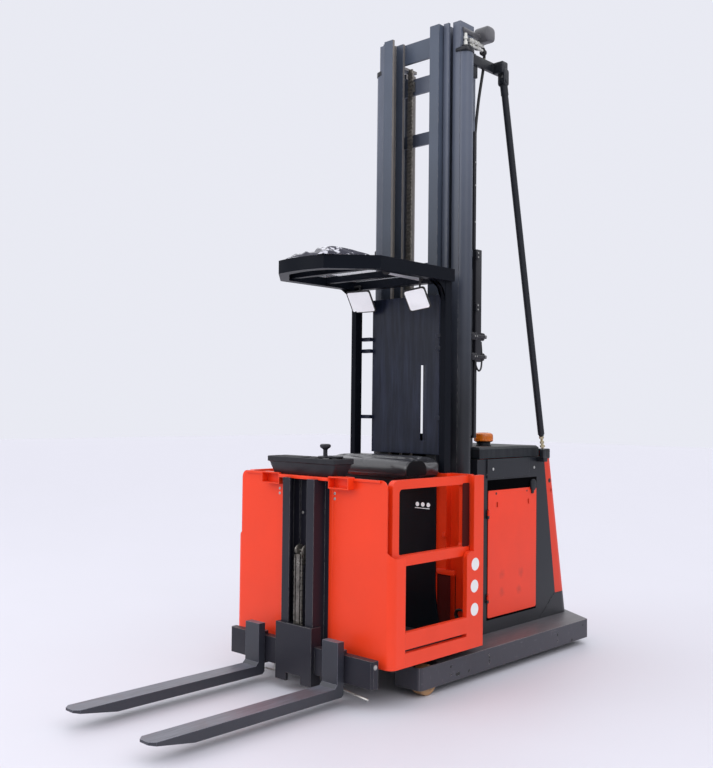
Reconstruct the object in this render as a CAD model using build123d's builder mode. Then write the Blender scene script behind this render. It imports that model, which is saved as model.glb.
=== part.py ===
from build123d import *
import os

# High-level order picker, millimetres, +Z up, forks toward -Y.
# Every y below is measured from the front plane of the outer mast;
# mast_y moves it into the object's own frame.

mast_y = 493.0

# Fits and common sizes
gap = 5.0
running = 0.05
slide_gap = 0.3
seat = 0.2
over = 1.0

# Chassis
half_w = 625.0
sill_bottom = 47.0
deck = 177.0
deck_plate = 20.0
arm_front = -689.0
arm_inner = 435.0
arm_root = -120.0
arm_corner = 28.0
well_front = -60.0
rear_end = 1375.0
rear_corner_y = 1200.0
rear_corner_x = 336.0
rail_wall = 60.0
hole_depth = 6.0
# y, z and radius of the holes in each side
side_holes = (
    (-395.0, 141.0, 6.0),
    (-401.0, 89.0, 6.0),
    (-325.0, 82.0, 11.0),
    (-216.0, 78.0, 8.0),
    (-9.0, 136.0, 6.0),
    (-9.0, 84.0, 6.0),
    (801.0, 138.0, 6.0),
    (802.0, 88.0, 6.0),
)

# Wheels
load_r = 88.0
load_y = -586.0
load_x0 = 530.0
load_x1 = 606.0
load_clear = 9.0
load_side = 7.0
load_hub_r = 62.0
load_pin_r = 17.5
drive_r = 165.0
drive_y = 1010.0
drive_w = 110.0
drive_hub_r = 120.0
drive_pin_r = 22.0
drive_well_r = 215.0
cheek_gap = 8.0
cheek_t = 30.0
cheek_half = 60.0
table_z = 350.0
table_t = 22.0
table_r = 170.0
motor_r = 95.0
motor_h = 268.0
bridge_t = 25.0
bridge_half = 110.0

# Mast stages, each a pair of channels nested inside the one before
mast_top = 4225.0
middle_drop = 11.0
inner_drop = 19.0
rail_bottom = 185.0
outer_x0 = 292.0
outer_x1 = 352.0
outer_y0 = 0.0
outer_y1 = 150.0
middle_x1 = outer_x0 - gap
middle_x0 = middle_x1 - 42.0
middle_y0 = -40.0
middle_y1 = 110.0
inner_x1 = middle_x0 - gap
inner_x0 = inner_x1 - 77.0
inner_y0 = -83.0
inner_y1 = 47.0
thin_flange = 18.0
thick_flange = 20.0
thick_web = 15.0
thin_web = 12.0
bar_t = 20.0
foot_bar_h = 90.0
# Foot of each cross bar as a share of the mast's height, and the bar's own height
outer_bars = ((0.336, 80.0), (0.6155, 80.0), (0.8305, 85.0))
middle_bars = ((0.4735, 70.0), (0.9136, 112.0))
inner_bars = ((0.497, 70.0), (0.9614, 138.0))
slide_z0 = rail_bottom + 5.0
slide_h = 230.0
slide_back = 19.0
far_pin_y = 60.0
far_pin_drop = 190.0
far_pin_r = 20.0
far_pin_reach = 44.0

# Lift cylinders
lift_x = 262.0
lift_y = 224.0
lift_r = 42.0
lift_bore = 33.0
lift_rod_r = 27.0
lift_top = mast_top - 180.0
lift_floor = 40.0
piston_h = 100.0
yoke_z = mast_top - 155.0
yoke_t = 20.0
yoke_half = 26.0
clamp_h = 35.0

# Leaf chains on the middle stage
chain_x0 = 118.0
chain_x1 = 162.0
chain_y0 = 76.0
chain_t = 18.0
chain_foot = 260.0
chain_drop = 175.0
anchor_drop = 345.0
anchor_h = 70.0

# Tower behind the mast
tower_x = 385.0
tower_wall = 10.0
tower_front = 180.0
tower_top = 1337.0
notch_x = lift_x + lift_r + 8.0
notch_y = lift_y + lift_r + 9.0
hinge_x = tower_x + 10.0
hinge_y = 299.0
hinge_r = 5.0
knuckle_r = 9.0
knuckle_h = 36.0
hinge_lug = 20.0
door_y0 = hinge_y + gap
door_y1 = 893.0
door_z0 = deck + 100.0
door_z1 = tower_top - 212.0
door_t = 10.0
door_proud = 4.0
door_corner = 16.0
slot_in = 104.0
slot_w = 16.0
slot_h = 35.0
slot_drop = 80.0
low_hinge_z = door_z0 + 123.0
high_hinge_z = door_z1 - 165.0
panel_y0 = 286.0
panel_y1 = 794.0
panel_t = 8.0
panel_h = 128.0
lid_y0 = 206.0
lid_y1 = 925.0
lid_z1 = tower_top + 81.0
lid_wall = 8.0
lid_corner = 14.0
lid_pin_y = lid_y1 + 12.0
lid_pin_z = tower_top + 19.0
lid_pin_r = 6.0
lid_lug_x = 250.0
lug_half = 6.0
lug_back = 11.0
lug_top = 8.0
lid_arm_w = 18.0
shelf_end = lid_y1 + 65.0
battery_x = 350.0
battery_y1 = 800.0
battery_h = 823.0

# Rear hood, its front and rear edges lean forward with height
hood_z0 = 337.0
hood_z1 = tower_top + 47.0
hood_front_low = 1183.0
hood_front_lean = -0.1613
hood_rear_low = 1366.0
hood_rear_lean = -0.1985
hood_corner = 100.0
hood_wall = 8.0
hood_split = 2.0
hood_hole_z = hood_z1 - 295.0
hood_hole_in = 60.0
hood_hole_r = 14.0

# Beacon on the lid
beacon_x = 200.0
beacon_y = 507.0
beacon_base_r = 52.0
beacon_base_h = 37.0
beacon_r = 62.0
beacon_h = 45.0
beacon_slope = 16.0

# Strut from the mast head to the tower
strut_x = 430.0
strut_r = 25.0
strut_top_y = 380.0
strut_top_z = mast_top - 308.0
strut_low_y = 923.0
strut_low_z = tower_top + 43.0
strut_arm_t = 26.0
strut_arm_y0 = 20.0
strut_arm_y1 = 400.0
strut_arm_z0 = mast_top - 275.0
strut_arm_h = 80.0
strut_head_h = 40.0
strut_clevis_h = 60.0
strut_foot_h = 80.0
strut_foot_half = 33.0

# Mast head box, rear duct and its hose
box_arm_x0 = 300.0
box_arm_x1 = 340.0
box_x1 = 420.0
box_y0 = 200.0
box_y1 = 300.0
box_drop = 99.0
box_rise = 19.0
box_arm_drop = 75.0
box_arm_h = 40.0
box_slope = 26.0
duct_x0 = 353.0
duct_x1 = 388.0
duct_y0 = 165.0
duct_y1 = 198.0
duct_z0 = 1480.0
duct_z1 = 2732.0
strip_x0 = 338.0
strip_x1 = 357.0
strip_y0 = 172.0
strip_top = mast_top - 745.0
duct_clips = (1560.0, 2100.0, 2450.0)
strip_clips = (2900.0, 3300.0)
clip_h = 30.0
hose_x = 344.0
hose_r = 6.0
# y and z of the points the hose runs through, z as a drop from the mast top
hose_route = ((285.0, box_drop), (268.0, 260.0), (215.0, 500.0), (185.0, 745.0))

# Cabin, a little wider than the chassis
cab_half = 660.0
cab_front = -985.0
cab_rear = -130.0
cab_bottom = 223.0
cab_top = 1266.0
floor_t = 40.0
floor_top = cab_bottom + floor_t
floor_inset = 90.0
skin = 8.0
side_t = 30.0
front_gap_x = 200.0
front_return = 60.0
corner_r = 45.0
open_front = -868.0
post_front_low = -297.0
post_front_top = -229.0
post_step = 809.0
post_step_r = 40.0
sill_top = 417.0
slit_z0 = 302.0
slit_z1 = 322.0
recess_x = cab_half - 42.0
recess_z = 835.0
recess_r = 45.0
lip_out = 12.0
lip_h = 14.0
bracket_x0 = 210.0
bracket_x1 = 370.0
bracket_out = 55.0
bracket_h = 70.0
bracket_wall = 7.0

# Gate
gate_t = 38.0
gate_x1 = cab_half - side_t - gap
gate_x0 = gate_x1 - gate_t
gate_front = -946.0
gate_bar_w = 57.0
gate_z0 = 780.0
gate_z1 = 1265.0
gate_top_bar = 51.0
gate_low_bar = 59.0
gate_rear = -248.0
gate_rear_bar = 36.0
gate_outer_r = 45.0
gate_inner_r = 24.0
gate_pin_y = -205.0
gate_pin_z = gate_z0 + 30.0
gate_pin_r = 12.0
gate_eye = 25.0

# Cabin interior
shelf_z = 1230.0
shelf_t = 15.0
shelf_front = -380.0
pad_h = 140.0
pad_x = 405.0
pad_front = -400.0
pad_rear = -214.0
pad_r = 30.0
cover_front = -213.0
centre_x = 290.0
wall_front = -160.0
column_x0 = 340.0
column_x1 = 430.0
column_front = -206.0

# Carriage that slides in the inner stage
carriage_x = inner_x0 - gap
carriage_y0 = -60.0
carriage_y1 = -20.0
carriage_z0 = 290.0
carriage_z1 = cab_top - 16.0
block_h = 220.0
low_block_z = 300.0
high_block_z = carriage_z1 - 230.0
tie_x = 150.0
tie_h = 200.0

# Guard over the operator
guard_x0 = 367.0
guard_x1 = 407.0
guard_y0 = -204.0
guard_y1 = -140.0
ring_x = 430.0
ring_z0 = 2480.0
ring_h = 80.0
ring_band = 62.0
ring_front = -1107.0
ring_bow = 25.0
ring_nose = 0.45
ring_shoulder = -850.0
ring_rear = guard_y1
rib_rows = (-800.0, -480.0)
rib_half = 20.0
rib_x = 400.0
rib_z = ring_z0 + 15.0
rib_h = 40.0
pane_t = 6.0
shield_x = 290.0
shield_y0 = -116.0
shield_t = 8.0
shield_z0 = cab_top + 109.0
shield_z1 = ring_z0 - 69.0
slit_x0 = 135.0
slit_x1 = 182.0
slit_foot = shield_z0 + 86.0
slit_head = shield_z0 + 581.0
shield_brackets = (1600.0, 2050.0, 2130.0)
shield_bracket_h = 25.0
shield_bracket_y0 = -150.0
lamp_x0 = 250.0
lamp_x1 = 300.0
lamp_y0 = -790.0
lamp_y1 = -440.0
lamp_drop = 17.0
# x, y and drop below the ring of each mirror's middle
mirror_rows = ((345.0, -410.0, 130.0), (-300.0, -225.0, 85.0))
mirror_half = 75.0
mirror_half_h = 60.0
mirror_half_t = 10.0
stalk_half = 8.0
stalk_lift = 24.0

# Short mast on the cabin's front
aux_x0 = 72.0
aux_x1 = 134.0
aux_front = -1078.0
aux_rear = cab_front
aux_z0 = 215.0
aux_z1 = cab_top - 16.0
aux_flange = 10.0
aux_web = 10.0
aux_plate = 10.0
aux_foot_t = 12.0
aux_y = -1035.0
barrel_r = 30.0
barrel_bore = 24.0
barrel_top = 740.0
rod_r = 17.0
rod_top = 780.0
piston_r = 23.0
piston_t = 50.0
head_half = 38.0
head_t = 20.0
sheave_r = 26.0
sheave_in = 22.0
sheave_out = 36.0
sheave_pin_r = 8.0
sheave_z = rod_top + 42.0
link_in = 24.0
link_out = 34.0
link_t = 6.0
front_run = 330.0
rear_run = 260.0

# Console
tray_x = 316.0
tray_y0 = -1048.0
tray_y1 = -880.0
tray_z0 = cab_top + 90.0
tray_t = 34.0
tray_z1 = tray_z0 + tray_t
pod_x = 250.0
pod_z0 = cab_top + 6.0
pod_inset = 10.0
pod_back = 20.0
pod_slope = 24.0
steer_x = 150.0
steer_y = -960.0
steer_r = 76.0
steer_t = 10.0
steer_lift = 2.0
stem_r = 10.0
stem_in = 14.0
stem_hole = 40.0
knob_y = steer_y - 45.0
knob_stem_r = 13.0
knob_stem_h = 24.0
knob_r = 30.0
knob_h = 24.0

# Fork carriage and forks
bar_x = 604.0
bar_front = -1078.0
bar_rear = -1028.0
bar_z0 = 129.0
bar_z1 = 283.0
bar_corner = 12.0
block_x = 152.0
cheek = 12.0
block_front = -1104.0
block_t = 20.0
block_z0 = 57.0
block_z1 = 394.0
mouth_x = 62.0
mouth_top = 105.0
arm_x0 = 45.0
arm_x1 = 66.0
arm_back = -1040.0
arm_z0 = 240.0
arm_h = 140.0
fork_x = 332.0
fork_w = 123.0
fork_tip = -2361.0
fork_face = -1133.0
fork_back = -1083.0
fork_top = 108.0
fork_shank_top = 360.0
fork_t = 56.0
fork_tip_t = 14.0
fork_taper = 250.0
fork_corner = 28.0
fork_bend = 20.0
heel_r = 15.0
hook_half = 40.0
hook_back = 8.0
hook_t = 20.0


def block(x0, x1, y0, y1, z0, z1, mode=Mode.ADD):
    with Locations(((x0 + x1) / 2, mast_y + (y0 + y1) / 2, (z0 + z1) / 2)):
        Box(x1 - x0, y1 - y0, z1 - z0, mode=mode)


def both(x0, x1, y0, y1, z0, z1, mode=Mode.ADD):
    block(x0, x1, y0, y1, z0, z1, mode)
    block(-x1, -x0, y0, y1, z0, z1, mode)


def upright(x, y, z0, z1, r, mode=Mode.ADD):
    with Locations((x, mast_y + y, (z0 + z1) / 2)):
        Cylinder(r, z1 - z0, mode=mode)


def crosswise(x0, x1, y, z, r, mode=Mode.ADD):
    with Locations(Location(((x0 + x1) / 2, mast_y + y, z), (0, 90, 0))):
        Cylinder(r, x1 - x0, mode=mode)


def span(side, near, far):
    return sorted((side * near, side * far))


def keep(builder, name):
    builder.part.label = name
    export_step(builder.part, f"parts/{name}.step")


os.makedirs("parts", exist_ok=True)

# Chassis deck with two front arms over the load wheels
with BuildPart() as chassis:
    with BuildSketch(Plane.XY.offset(sill_bottom)):
        with BuildLine():
            Polyline(
                (-half_w, mast_y + arm_front),
                (-arm_inner, mast_y + arm_front),
                (-arm_inner, mast_y + arm_root),
                (arm_inner, mast_y + arm_root),
                (arm_inner, mast_y + arm_front),
                (half_w, mast_y + arm_front),
                (half_w, mast_y + rear_corner_y),
                (rear_corner_x, mast_y + rear_end),
                (-rear_corner_x, mast_y + rear_end),
                (-half_w, mast_y + rear_corner_y),
                close=True,
            )
        make_face()
    extrude(amount=deck - sill_bottom)
    corners = chassis.edges().filter_by(Axis.Z).group_by(Axis.Y)[0].sort_by(Axis.X)
    fillet((corners[0], corners[-1]), arm_corner)
    with BuildSketch(Plane.XY.offset(sill_bottom)):
        with BuildLine():
            inner_x = half_w - rail_wall
            Polyline(
                (-inner_x, mast_y + well_front),
                (inner_x, mast_y + well_front),
                (inner_x, mast_y + rear_corner_y - rail_wall),
                (rear_corner_x - rail_wall / 2, mast_y + rear_end - rail_wall),
                (-rear_corner_x + rail_wall / 2, mast_y + rear_end - rail_wall),
                (-inner_x, mast_y + rear_corner_y - rail_wall),
                close=True,
            )
        make_face()
    extrude(amount=deck - sill_bottom - deck_plate, mode=Mode.SUBTRACT)
    upright(0, drive_y, 0, deck + over, drive_well_r, Mode.SUBTRACT)
    for side in (-1, 1):
        x0, x1 = span(side, load_x0 - load_side, load_x1 + load_side)
        reach = load_r + load_clear
        block(x0, x1, load_y - reach, load_y + reach, 0, deck + over, Mode.SUBTRACT)
        crosswise(x0, x1, load_y, load_r, load_pin_r)
        for y, z, r in side_holes:
            x0, x1 = span(side, half_w - hole_depth, half_w + over)
            crosswise(x0, x1, y, z, r, Mode.SUBTRACT)
keep(chassis, "chassis")

# Load wheels, a bored hub and its tyre a side
for side, word in ((-1, "left"), (1, "right")):
    x0, x1 = span(side, load_x0, load_x1)
    with BuildPart() as hub:
        crosswise(x0, x1, load_y, load_r, load_hub_r)
        crosswise(x0, x1, load_y, load_r, load_pin_r + running, Mode.SUBTRACT)
    keep(hub, f"load_hub_{word}")
    with BuildPart() as tyre:
        crosswise(x0, x1, load_y, load_r, load_r)
        crosswise(x0, x1, load_y, load_r, load_hub_r, Mode.SUBTRACT)
    keep(tyre, f"load_tyre_{word}")

# Drive unit: turntable, motor and a fork over the wheel
cheek_x = drive_w / 2 + cheek_gap
table_top = table_z + table_t
with BuildPart() as drive_unit:
    upright(0, drive_y, table_z, table_top, table_r)
    upright(0, drive_y, table_top, table_top + motor_h, motor_r)
    both(cheek_x, cheek_x + cheek_t, drive_y - cheek_half, drive_y + cheek_half,
         drive_r - 2 * drive_pin_r, table_z)
    crosswise(-cheek_x - cheek_t, cheek_x + cheek_t, drive_y, drive_r, drive_pin_r)
keep(drive_unit, "drive_unit")

with BuildPart() as drive_hub:
    crosswise(-drive_w / 2, drive_w / 2, drive_y, drive_r, drive_hub_r)
    crosswise(-drive_w / 2, drive_w / 2, drive_y, drive_r, drive_pin_r + running, Mode.SUBTRACT)
keep(drive_hub, "drive_hub")

with BuildPart() as drive_tyre:
    crosswise(-drive_w / 2, drive_w / 2, drive_y, drive_r, drive_r)
    crosswise(-drive_w / 2, drive_w / 2, drive_y, drive_r, drive_hub_r, Mode.SUBTRACT)
keep(drive_tyre, "drive_tyre")

# Battery as one plain block
with BuildPart() as battery:
    block(-battery_x, battery_x, notch_y + tower_wall + gap, battery_y1, deck, deck + battery_h)
keep(battery, "battery_block")

# Tower frame: side walls with a door opening, front walls, lid pins and door hinges
side_end = hood_front_low - seat
with BuildPart() as tower:
    for side in (-1, 1):
        with BuildSketch(Plane.YZ.offset(side * (tower_x - tower_wall / 2))):
            with BuildLine():
                Polyline(
                    (mast_y + tower_front, deck),
                    (mast_y + side_end, deck),
                    (mast_y + side_end + hood_front_lean * (tower_top - deck), tower_top),
                    (mast_y + tower_front, tower_top),
                    close=True,
                )
            make_face()
            with Locations((mast_y + (door_y0 + door_y1) / 2, (door_z0 + door_z1) / 2)):
                Rectangle(door_y1 - door_y0 + 2 * gap, door_z1 - door_z0 + 2 * gap, mode=Mode.SUBTRACT)
        extrude(amount=tower_wall / 2, both=True)
        x0, x1 = span(side, tower_x, tower_x + panel_t)
        block(x0, x1, panel_y0, panel_y1, tower_top - panel_h, tower_top)
    block(-notch_x, notch_x, notch_y, notch_y + tower_wall, deck, tower_top)
    both(notch_x, notch_x + tower_wall, tower_front, notch_y + tower_wall, deck, tower_top)
    both(notch_x, tower_x, tower_front, tower_front + tower_wall, deck, tower_top)
    block(-tower_x, tower_x, lid_y1 + gap, shelf_end, tower_top - tower_wall, tower_top)
    for x in (-lid_lug_x, lid_lug_x):
        block(x - lug_half, x + lug_half, lid_pin_y - lug_half, lid_pin_y + lug_back,
              tower_top, lid_pin_z + lug_top)
        crosswise(x - lug_half, x + 5 * lug_half, lid_pin_y, lid_pin_z, lid_pin_r)
    for z in (low_hinge_z, high_hinge_z):
        for side in (-1, 1):
            x0, x1 = span(side, tower_x, hinge_x + hinge_r - over)
            block(x0, x1, hinge_y - 3 * hinge_r, hinge_y + hinge_r, z - hinge_lug, z)
            upright(side * hinge_x, hinge_y, z - hinge_lug, z + knuckle_h + 2 * over, hinge_r)
    # Turntable carrier the drive unit turns in
    inner_x = tower_x - tower_wall
    block(-inner_x, inner_x, drive_y - bridge_half, drive_y + bridge_half,
          table_top + slide_gap, table_top + bridge_t)
    upright(0, drive_y, table_top, table_top + bridge_t + over, motor_r + slide_gap, Mode.SUBTRACT)
    # Dark foot under the rear hood
    for inset, mode in ((0.0, Mode.ADD), (hood_wall, Mode.SUBTRACT)):
        for z in (deck, hood_z0 - hood_split):
            front = hood_front_low + hood_front_lean * (z - deck) - inset
            rear = hood_rear_low + hood_rear_lean * (z - deck) - inset
            with BuildSketch(Plane.XY.offset(z)) as section:
                with Locations((0, mast_y + (front - seat + rear) / 2)):
                    Rectangle(2 * (tower_x - inset), rear - front + seat)
                fillet(section.vertices().group_by(Axis.Y)[-1], hood_corner - inset)
        loft(mode=mode)
keep(tower, "tower_frame")

# Rear hood, a leaning shell with a closed top
with BuildPart() as hood:
    for inset, mode in ((0.0, Mode.ADD), (hood_wall, Mode.SUBTRACT)):
        for z in (hood_z0, hood_z1 - inset):
            front = hood_front_low + hood_front_lean * (z - deck) - inset
            rear = hood_rear_low + hood_rear_lean * (z - deck) - inset
            with BuildSketch(Plane.XY.offset(z)) as section:
                with Locations((0, mast_y + (front + rear) / 2)):
                    Rectangle(2 * (tower_x - inset), rear - front)
                fillet(section.vertices().group_by(Axis.Y)[-1], hood_corner - inset)
        loft(mode=mode)
    hole_y = hood_front_low + hood_front_lean * (hood_hole_z - deck) + hood_hole_in
    for side in (-1, 1):
        x0, x1 = span(side, tower_x - hood_wall - over, tower_x + over)
        crosswise(x0, x1, hole_y, hood_hole_z, hood_hole_r, Mode.SUBTRACT)
keep(hood, "rear_hood")

# Tower lid, open underneath, hinged at its rear edge
with BuildPart() as lid:
    block(-tower_x, tower_x, lid_y0, lid_y1, tower_top + gap, lid_z1)
    chamfer(lid.edges().group_by(Axis.Z)[-1], lid_corner)
    block(
        -tower_x + lid_wall, tower_x - lid_wall, lid_y0 + lid_wall, lid_y1 - lid_wall,
        tower_top, lid_z1 - 2 * lid_wall, Mode.SUBTRACT,
    )
    block(-notch_x, notch_x, lid_y0 + lid_wall, notch_y + lid_wall, tower_top + gap, lid_z1 - over)
    block(-notch_x, notch_x, lid_y0 - over, notch_y, tower_top, lid_z1 + over, Mode.SUBTRACT)
    for x in (-lid_lug_x, lid_lug_x):
        arm_x = x + lug_half + 2 * over
        block(arm_x, arm_x + lid_arm_w, lid_y1 - over, lid_pin_y + lug_top,
              lid_pin_z - lug_top, lid_pin_z + lug_top)
        crosswise(arm_x, arm_x + lid_arm_w, lid_pin_y, lid_pin_z, lid_pin_r + running, Mode.SUBTRACT)
keep(lid, "tower_lid")

# Beacon on the lid
with BuildPart() as beacon:
    upright(beacon_x, beacon_y, lid_z1, lid_z1 + beacon_base_h, beacon_base_r)
    upright(beacon_x, beacon_y, lid_z1 + beacon_base_h, lid_z1 + beacon_base_h + beacon_h, beacon_r)
    chamfer(beacon.edges().group_by(Axis.Z)[-1], beacon_slope)
keep(beacon, "beacon")

# Battery doors
for side, word in ((-1, "left"), (1, "right")):
    x0, x1 = span(side, tower_x - door_t + door_proud, tower_x + door_proud)
    with BuildPart() as door:
        block(x0, x1, door_y0, door_y1, door_z0, door_z1)
        fillet(door.edges().filter_by(Axis.X), door_corner)
        for y in (door_y0 + slot_in, door_y1 - slot_in):
            z = door_z1 - slot_drop
            block(x0, x1, y - slot_w / 2, y + slot_w / 2, z - slot_h, z, Mode.SUBTRACT)
        for z in (low_hinge_z, high_hinge_z):
            z1 = z + knuckle_h
            upright(side * hinge_x, hinge_y, z + slide_gap, z1, knuckle_r)
            leaf = span(side, hinge_x - knuckle_r, hinge_x)
            block(leaf[0], leaf[1], hinge_y, door_y0 + 2 * gap, z + slide_gap, z1)
            upright(side * hinge_x, hinge_y, z - over, z1 + over, hinge_r + running, Mode.SUBTRACT)
    keep(door, f"battery_door_{word}")


# Mast rail, a channel with two flanges and a web
def rails(x0, x1, y0, y1, flange, web_x0, web_x1, z1):
    both(x0, x1, y0, y0 + flange, rail_bottom, z1)
    both(x0, x1, y1 - flange, y1, rail_bottom, z1)
    both(web_x0, web_x1, y0, y1, rail_bottom, z1)


def cross_bars(x, y, rows):
    block(-x, x, y, y + bar_t, rail_bottom, rail_bottom + foot_bar_h)
    for share, height in rows:
        block(-x, x, y, y + bar_t, share * mast_top, share * mast_top + height)


with BuildPart() as outer_mast:
    rails(outer_x0, outer_x1, outer_y0, outer_y1, thin_flange, outer_x1 - thick_web, outer_x1, mast_top)
    both(outer_x0, outer_x1, outer_y0, outer_y1, deck, rail_bottom)
    cross_bars(outer_x1, outer_y1, outer_bars)
    both(lift_x - yoke_half, outer_x0 + over, outer_y1, lift_y - lift_r - seat, lift_top - clamp_h, lift_top)
    both(outer_x0, outer_x0 + over, outer_y1 - over, lift_y - lift_r - seat, lift_top - clamp_h, lift_top)
    crosswise(-outer_x1 - far_pin_reach, -outer_x1, far_pin_y, mast_top - far_pin_drop, far_pin_r)
keep(outer_mast, "outer_mast")

slide_z1 = slide_z0 + slide_h
slide_y0 = outer_y0 + thin_flange + slide_gap
with BuildPart() as middle_mast:
    rails(middle_x0, middle_x1, middle_y0, middle_y1, thin_flange,
          middle_x0, middle_x0 + thin_web, mast_top - middle_drop)
    cross_bars(middle_x1, middle_y1, middle_bars)
    both(middle_x1 - 2 * yoke_half, middle_x1, middle_y1, lift_y + lift_r, yoke_z, yoke_z + yoke_t)
    both(middle_x0 + thin_web, outer_x0, slide_y0, middle_y1 - slide_back, slide_z0, slide_z1)
    both(outer_x0, outer_x1 - thick_web - slide_gap, slide_y0,
         outer_y1 - thin_flange - slide_gap, slide_z0, slide_z1)
keep(middle_mast, "middle_mast")

with BuildPart() as inner_mast:
    rails(inner_x0, inner_x1, inner_y0, inner_y1, thick_flange,
          inner_x1 - thick_web, inner_x1, mast_top - inner_drop)
    cross_bars(inner_x1, inner_y1, inner_bars)
    both(inner_x1, middle_x0 - slide_gap, inner_y0 + 2 * thick_flange + thick_web,
         inner_y1 - slide_gap, slide_z0, slide_z1)
keep(inner_mast, "inner_mast")

# Lift cylinders and their rods
with BuildPart() as lift_barrels:
    for x in (-lift_x, lift_x):
        upright(x, lift_y, deck, lift_top, lift_r)
        upright(x, lift_y, deck + lift_floor, lift_top, lift_bore, Mode.SUBTRACT)
keep(lift_barrels, "lift_barrels")

with BuildPart() as lift_rods:
    for x in (-lift_x, lift_x):
        foot = deck + 1.5 * lift_floor
        upright(x, lift_y, foot, yoke_z, lift_rod_r)
        upright(x, lift_y, foot, foot + piston_h, lift_bore - over)
keep(lift_rods, "lift_rods")

# Leaf chains hanging from the middle stage
chain_y1 = chain_y0 + chain_t
with BuildPart() as lift_chains:
    both(chain_x0, chain_x1, chain_y0, chain_y1, chain_foot, mast_top - chain_drop)
    both(chain_x0, chain_x1, chain_y1, middle_y1, mast_top - anchor_drop, mast_top - anchor_drop + anchor_h)
keep(lift_chains, "lift_chains")

# Strut with its brackets, on the side the photo shows
strut_side = strut_x + strut_r
arm_face = outer_x1 + strut_arm_t
strut_dir = (0, strut_low_y - strut_top_y, strut_low_z - strut_top_z)
with BuildPart() as strut:
    block(outer_x1, arm_face, strut_arm_y0, strut_arm_y1, strut_arm_z0, strut_arm_z0 + strut_arm_h)
    block(arm_face, strut_side, strut_arm_y1 - strut_clevis_h, strut_arm_y1,
          strut_arm_z0, strut_arm_z0 + strut_head_h)
    block(arm_face, strut_side, strut_arm_y1 - strut_head_h, strut_arm_y1,
          strut_arm_z0 - strut_clevis_h, strut_arm_z0)
    block(tower_x, strut_side, strut_low_y - strut_foot_half, strut_low_y + strut_foot_half,
          strut_low_z - strut_foot_h, strut_low_z)
    with BuildSketch(Plane(origin=(strut_x, mast_y + strut_top_y, strut_top_z), z_dir=strut_dir)):
        Circle(strut_r)
    extrude(amount=Vector(*strut_dir).length)
keep(strut, "mast_strut")

# Mast head box
with BuildPart() as mast_head:
    block(box_arm_x0, box_x1, box_y0, box_y1, mast_top - box_drop, mast_top + box_rise)
    chamfer(mast_head.edges().filter_by(Axis.Z).group_by(Axis.X)[-1], box_slope)
    block(box_arm_x0, box_arm_x1, outer_y1, box_y0,
          mast_top - box_arm_drop, mast_top - box_arm_drop + box_arm_h)
keep(mast_head, "mast_head_box")

# Rear duct, its narrower strip and the hose that runs down to it
with BuildPart() as duct:
    block(duct_x0, duct_x1, duct_y0, duct_y1, duct_z0, duct_z1)
    block(strip_x0, strip_x1, strip_y0, duct_y1, duct_z1, strip_top)
    for rows, y1 in ((duct_clips, duct_y0), (strip_clips, strip_y0)):
        for z in rows:
            block(strip_x0, strip_x1 - over, outer_y1, y1, z, z + clip_h)
    with BuildLine():
        route = Spline(*[(hose_x, mast_y + y, mast_top - drop) for y, drop in hose_route])
    with BuildSketch(Plane(origin=route @ 0, z_dir=route % 0)):
        Circle(hose_r)
    sweep(path=route)
keep(duct, "rear_duct")

# Cabin floor
inner_half = cab_half - side_t
floor_front = cab_front + floor_inset
with BuildPart() as floor:
    block(-inner_half, inner_half, floor_front, cab_rear, cab_bottom, floor_top)
    both(front_gap_x + skin, cab_half - corner_r, cab_front + skin, floor_front, cab_bottom, floor_top)
    both(front_gap_x, front_gap_x + skin, cab_front + front_return, floor_front, cab_bottom, floor_top)
    block(-front_gap_x, front_gap_x, cab_front + aux_plate, floor_front, cab_bottom, floor_top)
keep(floor, "cabin_floor")

# Front corner skins with a recess for the gate, a folded lip and a console bracket
with BuildPart() as skins:
    for side in (-1, 1):
        for inset, mode in ((0.0, Mode.ADD), (skin, Mode.SUBTRACT)):
            xa = side * (front_gap_x + inset)
            xb = side * (cab_half - inset)
            ya = mast_y + cab_front + inset
            yb = mast_y + open_front + inset
            with BuildSketch(Plane.XY.offset(cab_bottom)) as plan:
                with Locations(((xa + xb) / 2, (ya + yb) / 2)):
                    Rectangle(abs(xb - xa), yb - ya)
                outer_side = plan.vertices().group_by(Axis.X)[-1 if side > 0 else 0]
                fillet(outer_side.sort_by(Axis.Y)[0], corner_r - inset)
            extrude(amount=cab_top - cab_bottom, mode=mode)
        x0, x1 = span(side, front_gap_x - over, front_gap_x + skin + over)
        block(x0, x1, cab_front + front_return, open_front + over,
              cab_bottom - over, cab_top + over, Mode.SUBTRACT)
        x0, x1 = span(side, recess_x, cab_half + over)
        with BuildSketch(Plane.YZ.offset(x0)) as cut:
            deep = open_front - cab_front + 4 * over
            tall = cab_top - recess_z + 4 * over
            with Locations((mast_y + cab_front - over + deep / 2, recess_z + tall / 2)):
                Rectangle(deep, tall)
            fillet(cut.vertices().group_by(Axis.Y)[0].sort_by(Axis.X)[0], recess_r)
        extrude(amount=x1 - x0, mode=Mode.SUBTRACT)
    rounded = skins.edges().filter_by(Axis.Y).filter_by_position(Axis.Z, cab_top - over, cab_top + over)
    fillet((rounded.sort_by(Axis.X)[0], rounded.sort_by(Axis.X)[-1]), recess_r)
    for side in (-1, 1):
        x0, x1 = span(side, front_gap_x, recess_x - recess_r)
        block(x0, x1, cab_front - lip_out, cab_front, cab_top - lip_h, cab_top)
        x0, x1 = span(side, bracket_x0, bracket_x1)
        block(x0, x1, cab_front - bracket_out, cab_front, pod_z0 - bracket_h, pod_z0)
        block(x0 + bracket_wall, x1 - bracket_wall, cab_front - bracket_out - over,
              cab_front - bracket_wall, pod_z0 - bracket_h + bracket_wall, pod_z0 - bracket_wall,
              Mode.SUBTRACT)
keep(skins, "front_skins")

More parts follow.
